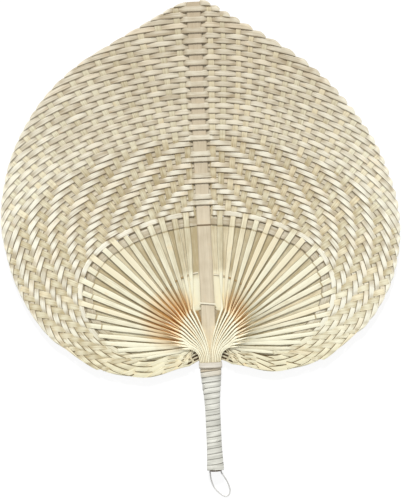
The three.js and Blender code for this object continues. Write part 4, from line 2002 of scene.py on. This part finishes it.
    def _run(self, row: int) -> Run:
        """All the cross-sections of a row, from left to right.

        Args:
            row: The row.

        Returns:
            The run.
        """
        middle = self.weave.offset(row) + self.chance.uniform(-1, 1) * self.row_wander
        halves = {}
        for side in Side:
            half = self._half(row, side, middle)
            if row < self.tail.rows:
                half += self._tail(row, half[-1])
            elif row == self.tail.rows:
                half += self._taper(half[-1])
            halves[side] = half
        over = self.weave.spine_wave(row)
        width = self.weave.row_pitch * self.spread
        squeezed = width * (self.spine_squeeze if over > 0 else 0.0)
        across = []
        for x in self.spine_places:
            line = upright(abs(x))
            squeeze = squeezed * (1 - (x / 9.0) ** 2)
            inner = line.at(self.blade.row_distance(line, middle - width / 2))
            outer = line.at(self.blade.row_distance(line, middle + width / 2 - squeeze))
            outer[1] = min(outer[1], self.blade.tip_y - self.tip_gap)
            z = over * (self.spine_clear + 0.14 * (1 - (x / 5.6) ** 2))
            station = Station(inner, outer, z, self.half_thickness, self.spine_cream)
            across.append(station.flipped() if x < 0 else station)
        left = [station.flipped() for station in reversed(halves[Side.LEFT])]
        wear_and_shadow = self.twill_wear_and_shadow if row < self.weave.first_plain_row else 1.0
        return self._to_run([*left, *across, *halves[Side.RIGHT]], wear_and_shadow=wear_and_shadow)

    def _to_run(
        self, stations: Sequence[Station], tone: float | None = None, wear_and_shadow: float = 1.0
    ) -> Run:
        """Turns cross-sections between edge points into a run.

        Args:
            stations: The cross-sections.
            tone: The strip's tone, if it isn't left to chance.
            wear_and_shadow: How thin its edges get and how dark its inner edge is, as a painted
                shadow line.

        Returns:
            The run.
        """
        parts = zip(*((s.inner, s.outer, s.z, s.half, s.cream) for s in stations))
        inner, outer, heights, thick, cream = (np.array(part) for part in parts)
        zero = np.zeros(len(stations))
        return Run(
            np.column_stack(((inner + outer) / 2, heights)),
            np.column_stack(((outer - inner) / 2, zero - self.shingle)),
            np.column_stack((zero, zero, thick)),
            cream,
            self.chance.random() if tone is None else tone,
            self.edge_share,
            wear_and_shadow + (cream > 0.8) * (inner[:, 1] < -8) * self.palm_wear_and_shadow,
        )

    def _band(self, side: Side) -> Run:
        """The wide strip inside the first row, over the back ribs and under the front ones.

        Args:
            side: The side of the spine.

        Returns:
            The run.
        """
        lines = [upright(self.band_start)]
        lines += [Line(rib.palm, unit(rib.line.base - rib.palm)) for rib in self.ribs.on(side)]
        stations = []
        for place in np.arange(-1.0, self.band_last + 0.01, self.rib_step):
            line = line_at(lines, place)
            inner = line.at(self.blade.row_distance(line, self.weave.band_inner))
            outer = line.at(self.blade.row_distance(line, self.weave.band_outer))
            swing = self.band_swing * (math.cos(math.pi * place) if place > 0 else 0.0)
            z = lerp(self.band_spine_z, self.band_z + swing, smooth(place, -0.8, 0.0))
            # The swing also makes the band paler where it lies in front, as painted light.
            stations.append(Station(inner, outer, z, self.thin_half, swing + self.band_cream))
        return self._to_run(stations, self.band_tone).on(side)

    def _loose(self, side: Side) -> list[Run]:
        """The short strips that fill the corner between the bundle and the lobe.

        Args:
            side: The side of the spine.

        Returns:
            Their runs.
        """
        runs = []
        last = self.loose_steps
        for start, middle, end, width, z, cream in self.loose:
            most = self.loose_jitter
            jitter = [self.chance.uniform(-most, most) for _ in range(3)]
            rise = np.array(middle) + (0.0, jitter[0])
            fall = np.array(middle) + (self.loose_bend, jitter[1])
            points = bezier(np.array(start), rise, fall, np.array(end) + (0.0, jitter[2]), last)
            stations = []
            for step, point in enumerate(points):
                ahead = unit(points[min(step + 1, last)] - points[max(step - 1, 0)])
                half = aside(ahead) * width / 2
                stations.append(Station(point - half, point + half, z, self.thick_half, cream))
            runs.append(self._to_run(stations).on(side))
        return runs

    def build(self, finish: Material) -> None:
        """Builds the rows, a few to a piece, and the strips that lie inside and below them.

        Args:
            finish: The weft's material.
        """
        groups = self.solid_rows // self.solid_rows_per_piece
        for group in range(groups):
            first = group * self.rows_per_piece
            last = self.weave.rows if group == groups - 1 else first + self.rows_per_piece
            runs = [self._run(row) for row in range(first, last)]
            solid = group * self.solid_rows_per_piece + 1
            nodes = [f"weft_{solid + count:02d}" for count in range(self.solid_rows_per_piece)]
            self.shop.piece(f"weft_rows_{group + 1:02d}", runs, finish, Slot.WEFT, nodes)
        band = [self._band(side) for side in Side]
        loose = [run for side in Side for run in (*self._loose(side), *self._backing(side))]
        low = [self._low_rib(count, side) for side in Side for count in range(self.low.count)]
        for name, runs in (("splay_band", band), ("loose_strips", loose), ("low_ribs", low)):
            self.shop.piece(name, runs, finish, Slot.WEFT)


@dataclass
class Spine:
    """The flat slat from the handle's end to the tip, with the step where its upper layer ends."""

    shop: StripShop
    blade: BladePlan
    handle: Handle
    half_width: float = 5.25
    half_thickness: float = 0.5
    handle_fill: float = 0.86
    step_y: float = 81.8
    step_rise: float = 0.45
    step_end: float = 89.0
    low_places: tuple[float, ...] = (
        -104.0, -82.0, -58.0, -40.0, -22.0, -8.0, 6.0, 20.0, 35.0, 50.0, 65.0, 78.0,
    )
    step_gaps: tuple[float, ...] = (-0.9, -0.4, 0.4, 0.9, 2.0, 6.2)
    high_first: float = 92.0
    high_pitch: float = 4.0
    tip_gaps: tuple[float, ...] = (-1.2, -0.5, -0.1)

    def _shape(self, y: float) -> Pair:
        """The slat's half width and how far its upper layer is raised at a height.

        Args:
            y: The height.

        Returns:
            Both sizes.
        """
        tip = self.blade.tip_y
        half = self.half_width
        if y < -20:
            half = min(half, self.handle_fill * self.handle.core(y)[0])
        half *= 1 - 0.12 * smooth(y, tip - 1.5, tip)
        fade = 1 - smooth(y, self.step_y + 1, self.step_end)
        return half, self.step_rise * (y > self.step_y) * fade

    def build(self, finish: Material) -> None:
        """Builds the slat.

        Args:
            finish: The spine's material.
        """
        tip = self.blade.tip_y
        heights = [*self.low_places, *(self.step_y + gap for gap in self.step_gaps)]
        heights += [float(y) for y in np.arange(self.high_first, tip - 1.5, self.high_pitch)]
        heights += [tip + gap for gap in self.tip_gaps]
        shapes = [self._shape(y) for y in heights]
        centres = np.array([(0.0, y, raised / 2) for y, (_, raised) in zip(heights, shapes)])
        across = np.array([(-half, 0.0, 0.0) for half, _ in shapes])
        through = np.array([(0.0, 0.0, self.half_thickness + raised / 2) for _, raised in shapes])
        cream = np.array([0.7 if y < self.step_y or y > tip - 9 else 0.85 for y in heights])
        # A painted shadow line at the step.
        cream[[abs(y - self.step_y) < 0.6 for y in heights]] = -0.7
        run = Run(centres, across, through, cream, 0.4, 0.72)
        self.shop.piece("spine_slat", [run], finish, Slot.SPINE, ["spine"], lanes=8, warped=False)


@dataclass
class Ties:
    """The thin strips woven between the ribs near the throat and across the spine."""

    shop: StripShop
    radii: tuple[tuple[Side, float], ...] = ((Side.LEFT, 46.6), (Side.RIGHT, 44.6))
    height: float = -0.12
    half_width: float = 0.65
    half_thickness: float = 0.25
    first_angle: float = 7.4
    last_angle: float = 50.0
    steps: int = 40
    spine_y: float = 22.4
    spine_slope: float = 0.12
    spine_half: float = 6.2
    spine_steps: int = 16
    spine_half_width: float = 0.75
    spine_half_thickness: float = 0.2

    def _inner(self, radius: float) -> Run:
        """The tie woven between the ribs, laid out on the right.

        Args:
            radius: Its distance from the throat.

        Returns:
            The run.
        """
        angles = np.linspace(self.first_angle, self.last_angle, self.steps + 1)
        centres = np.array([(*(heading(a) * radius), self.height) for a in angles])
        across = np.array([(*(heading(a) * self.half_width), 0.0) for a in angles])
        through = np.tile((0.0, 0.0, self.half_thickness), (len(angles), 1))
        cream = np.array([0.8 - 1.05 * smooth(angle, 13.0, 24.0) for angle in angles])
        return Run(centres, across, through, cream, 0.6, 0.5)

    def _over_spine(self) -> Run:
        """The tie across the front of the spine.

        Returns:
            The run.
        """
        places = np.linspace(-self.spine_half, self.spine_half, self.spine_steps + 1)
        centres = [(x, self.spine_y - self.spine_slope * x, 1.0 - 0.003 * x * x) for x in places]
        across = np.tile((0.0, self.spine_half_width, 0.0), (len(places), 1))
        through = np.tile((0.0, 0.0, self.spine_half_thickness), (len(places), 1))
        return Run(np.array(centres), across, through, np.full(len(places), 1.0), 0.8, 0.5)

    def build(self, finish: Material) -> None:
        """Builds the three ties.

        Args:
            finish: Their material.
        """
        ties = {}
        for side, radius in self.radii:
            ties[f"inner_tie_{side.name.lower()}"] = self._inner(radius).on(side)
        ties["spine_tie"] = self._over_spine()
        for name, run in ties.items():
            self.shop.piece(f"{name}_strip", [run], finish, Slot.TIE, [name], lanes=2, warped=False)


@dataclass
class Binding:
    """The strip wound round the handle, its tucked end and its knot.

    An end is its middle across and along the handle, its direction in degrees from across the
    handle, its length and its width. The last lift comes in between the two last turns, which are
    counted back from the strip's end. The even turns are those at its start and at its end that
    don't wobble.
    """

    shop: StripShop
    handle: Handle
    turns: float = 19.6
    pitch: float = 4.15
    steps_per_turn: int = 30
    half_width: float = 2.08
    half_thickness: float = 0.33
    top_gap: float = 2.6
    end_gap: float = 0.1
    lift: float = 0.06
    last_lift: float = 0.2
    last_turns: Pair = (1.6, 1.0)
    wobble: float = 0.14
    even_turns: Pair = (0.9, 1.9)
    tan_heights: Pair = (-34.0, -27.0)
    tan_share: float = 0.8
    ends: tuple[tuple[float, float, float, float, float], ...] = (
        (-5.6, -41.0, 78.0, 5.4, 2.2),
        (3.2, -81.0, 28.0, 4.6, 1.8),
    )
    end_steps: int = 12
    end_lift: float = 0.12
    end_droop: float = 0.3
    end_half_thickness: float = 0.34
    seed: int = 5

    def _strip(self) -> Run:
        """The strip that is wound round the handle.

        Returns:
            The strip's run.
        """
        chance = random.Random(self.seed)
        rows = int(self.turns) + 3
        wobble = [chance.uniform(-self.wobble, self.wobble) for _ in range(rows)]
        top = self.handle.top - self.top_gap
        last = [self.turns - before for before in self.last_turns]
        centres = []
        for step in range(round(self.turns * self.steps_per_turn) + 1):
            turn = step / self.steps_per_turn
            angle = turn * 2 * math.pi
            whole = int(turn)
            shift = lerp(wobble[whole], wobble[whole + 1], turn - whole)
            uneven = self.even_turns[0] < turn < self.turns - self.even_turns[1]
            y = top - turn * self.pitch + (shift if uneven else 0.0)
            y = max(y, self.handle.end + self.half_width + self.end_gap)
            sunk = self.half_thickness - self.lift - self.last_lift * smooth(turn, *last)
            a, b = self.handle.oval(y)
            centres.append(((a - sunk) * math.sin(angle), y, -(b - sunk) * math.cos(angle)))
        points = np.array(centres)
        way = unit_rows(np.gradient(points, axis=0))
        out = unit_rows(points * np.array((1.0, 0.0, 1.0)))
        across = unit_rows(np.cross(out, way)) * self.half_width
        shares = [smooth(y, *self.tan_heights) for y in points[:, 1]]
        cream = np.array([1 - self.tan_share * share for share in shares])
        return Run(points, across, out * self.half_thickness, cream, 0.35, 0.7)

    def _end(self, x: float, y: float, turn: float, length: float, width: float) -> Run:
        """A short bit of strip that lies on the front of the handle.

        Args:
            x: Its middle across the handle.
            y: Its middle along the handle.
            turn: Its direction in degrees from across the handle.
            length: Its length.
            width: Its width.

        Returns:
            Its run.
        """
        cosine, sine = math.cos(math.radians(turn)), math.sin(math.radians(turn))
        centres, across, through = [], [], []
        for share in np.linspace(-1, 1, self.end_steps + 1):
            px = x + cosine * share * length / 2
            py = y + sine * share * length / 2
            a, b = self.handle.oval(py)
            height = b * math.sqrt(max(0.02, 1 - (px / a) ** 2))
            taper = math.sqrt(max(0.05, 1 - share**4))
            centres.append((px, py, height + self.end_lift - self.end_droop * share**4))
            across.append((-sine * width / 2 * taper, cosine * width / 2 * taper, 0.0))
            through.append((0.0, 0.0, self.end_half_thickness * taper))
        cream = np.full(len(centres), 1.0)
        return Run(np.array(centres), np.array(across), np.array(through), cream, 0.7, 0.3)

    def build(self, finish: Material) -> None:
        """Builds the wound strip and its ends.

        Args:
            finish: Their material.
        """
        shop, slot = self.shop, Slot.BINDING
        shop.piece("binding_winding", [self._strip()], finish, slot, ["binding"], warped=False)
        ends = [self._end(*end) for end in self.ends]
        shop.piece("binding_ends", ends, finish, slot, warped=False)


@dataclass
class Collar:
    """The smooth band round the top of the binding, flat where the handle lies."""

    shop: StripShop
    handle: Handle
    length: float = 4.6
    thickness: float = 0.8
    gap: float = 0.3
    pinch: float = 0.55
    flat_inset: float = 0.35
    edge_radius: float = 0.28
    swell: float = 0.012
    sides: int = 96
    grain: float = 0.9

    def _band(self) -> bpy.types.Object:
        """The collar: an oval band with round edges and a flat where the handle lies.

        Returns:
            The band.
        """
        a, b = self.handle.oval(self.handle.top)
        grow = self.gap + self.thickness
        deselect_all()
        bpy.ops.mesh.primitive_cylinder_add(
            vertices=self.sides,
            radius=1.0,
            depth=self.length * MM,
            end_fill_type="NOTHING",
        )
        piece = bpy.context.active_object
        bpy.ops.object.mode_set(mode="EDIT")
        bpy.ops.mesh.select_all(action="SELECT")
        bpy.ops.mesh.subdivide(number_cuts=3)
        wide = a + grow - self.pinch
        bpy.ops.transform.resize(value=(wide * MM, (b + grow) * MM, 1.0))
        bpy.ops.object.mode_set(mode="OBJECT")
        thicken(piece, self.thickness * MM)
        edge = piece.modifiers.new("edge", "BEVEL")
        edge.width = self.edge_radius * MM
        edge.segments = 3
        edge.limit_method = "ANGLE"
        bpy.ops.object.modifier_apply(modifier=edge.name)
        self._settle(piece.data, b + grow)
        return piece

    def _settle(self, mesh: bpy.types.Mesh, depth: float) -> None:
        """Lays the collar along the handle, flattens its underside and marks its strip.

        Args:
            mesh: The collar's mesh, upright at the origin.
            depth: Its half depth.
        """
        co = vertices(mesh) / MM
        share = co[:, 2] / self.length * 2
        swell = 1 + self.swell * np.cos(np.clip(share, -1, 1) * math.pi / 2)
        y = self.handle.top - self.length / 2 - co[:, 2]
        z = np.maximum(co[:, 1], self.flat_inset - depth)
        local = np.stack((co[:, 0] * swell, y, z), axis=1)
        mesh.vertices.foreach_set("co", self.shop.to_frame(local).ravel())
        round_way = np.abs(np.arctan2(co[:, 0], co[:, 1])) * self.grain
        uv = np.stack((round_way, co[:, 2] / (self.length / 2)), axis=1)
        numbers = {TONE: 0.5, CREAM: 1.0, WORN_AND_SHADED: 1.0}
        carry(mesh, uv, {name: np.full(len(co), value) for name, value in numbers.items()})

    def build(self, finish: Material) -> None:
        """Builds the collar.

        Args:
            finish: Its material.
        """
        collar = self._band()
        finish_mesh(collar, "collar_band")
        dress(collar, finish, Body.FAN, ["collar"])


@dataclass
class HangingLoop:
    """The thin cord whose ends go into the handle's end.

    A point of the route is its place across, its distance past the handle's end and its height
    above the surface.
    """

    throat: Array
    handle_end: float
    diameter: float = 1.1
    route: tuple[tuple[float, float, float], ...] = (
        (-4.2, 0.3, 6.35),
        (-4.2, 1.62, 6.35),
        (-4.1, 4.0, 5.5),
        (-3.7, 7.0, 3.7),
        (-2.9, 10.2, 1.9),
        (-1.5, 13.4, 0.9),
        (0.9, 16.6, 0.65),
        (3.9, 19.2, 0.65),
        (6.9, 20.5, 0.65),
        (9.2, 19.4, 0.65),
        (10.2, 16.6, 0.9),
        (9.8, 13.2, 1.8),
        (8.6, 9.6, 3.3),
        (6.9, 6.2, 4.9),
        (5.2, 3.4, 5.9),
        (4.2, 1.62, 6.35),
        (4.2, 0.3, 6.35),
    )

    def build(self, finish: Material) -> None:
        """Lays the cord.

        Args:
            finish: The cord's material.
        """
        points = [
            (x * MM, float(self.throat[1]) + (self.handle_end - past) * MM, z * MM)
            for x, past, z in self.route
        ]
        deselect_all()
        bpy.ops.curve.primitive_bezier_curve_add()
        piece = bpy.context.active_object
        piece.name = "loop_cord"
        curve = piece.data
        curve.dimensions = "3D"
        curve.resolution_u = 8
        curve.bevel_depth = self.diameter / 2 * MM
        curve.bevel_resolution = 3
        curve.use_fill_caps = True
        spline = curve.splines[0]
        spline.bezier_points.add(len(points) - len(spline.bezier_points))
        for knot, point in zip(spline.bezier_points, points):
            knot.co = point
            knot.handle_left_type = "AUTO"
            knot.handle_right_type = "AUTO"
        bpy.context.view_layer.update()
        dress(piece, finish, Body.LOOP, ["hanging_loop"])
        length = self._length(spline)
        log.info("the loop is %.1f mm long", length / MM)

    def _length(self, spline: bpy.types.Spline) -> float:
        """Measures the cord's line.

        Args:
            spline: The line.

        Returns:
            Its length in metres.
        """
        knots = spline.bezier_points
        total = 0.0
        for near, far in zip(knots[:-1], knots[1:]):
            parts = [near.co, near.handle_right, far.handle_left, far.co]
            points = bezier(*(np.array(part) for part in parts), 12)
            total += float(np.linalg.norm(np.diff(np.array(points), axis=0), axis=1).sum())
        return total


@dataclass
class Studio:
    """The camera over the fan, the floor under it and the plain soft light.

    The lens and the sensor are a real camera's, in millimetres, and angles are in degrees.
    """

    throat: Array
    millimetres_per_pixel: float = 0.7576
    picture: tuple[int, int] = (401, 500)
    throat_pixel: Pair = (209.0, 333.0)
    lean: float = 2.75
    lens: float = 200.0
    sensor: float = 36.0
    sky: float = 0.55
    lamp: float = 2.6
    lamp_height: float = 42.0
    lamp_azimuth: float = -2.0
    lamp_softness: float = 9.0
    seen_rays: tuple[str, ...] = ("Is Camera Ray", "Is Glossy Ray", "Is Transmission Ray")
    floor_metres: float = 6.0
    floor_drop_metres: float = 0.0004
    floor_grey: float = 0.86
    floor_glow: float = 1.14
    floor_glow_share: float = 0.78

    def camera(self) -> None:
        """Sets the camera straight over the fan, rolled as the photograph is."""
        width, height = self.picture
        tall = height * self.millimetres_per_pixel * MM
        distance = self.lens * tall / self.sensor
        roll = -math.radians(self.lean)
        right = np.array((math.cos(roll), math.sin(roll)))
        offset = right * (width / 2 - self.throat_pixel[0])
        offset = offset + aside(right) * (self.throat_pixel[1] - height / 2)
        place = self.throat[:2] + offset * self.millimetres_per_pixel * MM
        deselect_all()
        bpy.ops.object.camera_add(
            location=(place[0], place[1], self.throat[2] + distance), rotation=(0.0, 0.0, roll)
        )
        camera = bpy.context.active_object
        camera.data.lens = self.lens
        camera.data.sensor_fit = "VERTICAL"
        camera.data.sensor_height = self.sensor
        camera.data.clip_end = 20.0
        bpy.context.scene.camera = camera

    def _seen(self, bench: Bench) -> Wire:
        """1 for what the camera sees, also in a mirror or through glass, and otherwise 0."""
        rays = [bench.node("ShaderNodeLightPath", None, None, kind) for kind in self.seen_rays]
        return (rays[0] + rays[1] + rays[2]).clipped()

    def light(self) -> None:
        """Adds the lamp and the sky, which shows white to the camera."""
        deselect_all()
        bpy.ops.object.light_add(type="SUN", location=(0.0, 0.6, 1.0))
        lamp = bpy.context.active_object
        lamp.data.energy = self.lamp
        lamp.data.angle = math.radians(self.lamp_softness)
        height = math.radians(90 - self.lamp_height)
        lamp.rotation_euler = (-height, 0.0, -math.radians(self.lamp_azimuth))
        world = bpy.data.worlds.new("plain_sky")
        bpy.context.scene.world = world
        bench = Bench(world)
        shares = {"Value": self._seen(bench), "To Min": self.sky, "To Max": 1.0}
        strength = bench.node("ShaderNodeMapRange", None, shares)
        sky = bench.node("ShaderNodeBackground", None, {"Strength": strength})
        bench.node("ShaderNodeOutputWorld", None, {"Surface": sky})

    def floor(self) -> None:
        """Lays a white floor that keeps a light shadow."""
        deselect_all()
        bpy.ops.mesh.primitive_plane_add(
            size=self.floor_metres, location=(0.0, 0.0, -self.floor_drop_metres)
        )
        floor = bpy.context.active_object
        floor.name = "studio_floor"
        bench = Bench(bpy.data.materials.new("studio_white"))
        grey = (self.floor_grey, self.floor_grey, self.floor_grey, 1.0)
        white = (1.0, 1.0, 1.0, 1.0)
        matt = bench.node("ShaderNodeBsdfDiffuse", None, {"Color": grey})
        light = {"Color": white, "Strength": self.floor_glow}
        glow = bench.node("ShaderNodeEmission", None, light)
        share = self._seen(bench) * self.floor_glow_share
        surface = bench.node("ShaderNodeMixShader", None, {0: share, 1: matt, 2: glow})
        bench.node("ShaderNodeOutputMaterial", None, {"Surface": surface})
        floor.data.materials.append(bench.owner)

    def build(self) -> None:
        """Sets up the camera, the lights and the floor."""
        self.camera()
        self.light()
        self.floor()
        bpy.context.scene.view_settings.view_transform = "Standard"


def main() -> None:
    """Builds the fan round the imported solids."""
    logging.basicConfig(level=logging.INFO, format="%(name)s: %(message)s")
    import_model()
    handle = Handle()
    low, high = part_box("spine")
    throat = np.array((0.0, low.y - handle.end * MM, (low.z + high.z) / 2))
    finishes = Finishes()
    Studio(throat).build()
    HangingLoop(throat, handle.end).build(finishes.loop.material())
    blade = BladePlan()
    shop = StripShop(throat, BladeWarp(blade.outline))
    weave = WeavePlan()
    ribs = Ribs(shop, blade, weave, handle)
    ribs.build(finishes.rib.material(throat))
    Weft(shop, blade, weave, ribs).build(finishes.weft.material(throat))
    Spine(shop, blade, handle).build(finishes.spine.material(throat))
    Ties(shop).build(finishes.tie.material(throat))
    Binding(shop, handle).build(finishes.binding.material())
    Collar(shop, handle).build(finishes.collar.material())


if __name__ == "__main__":
    main()
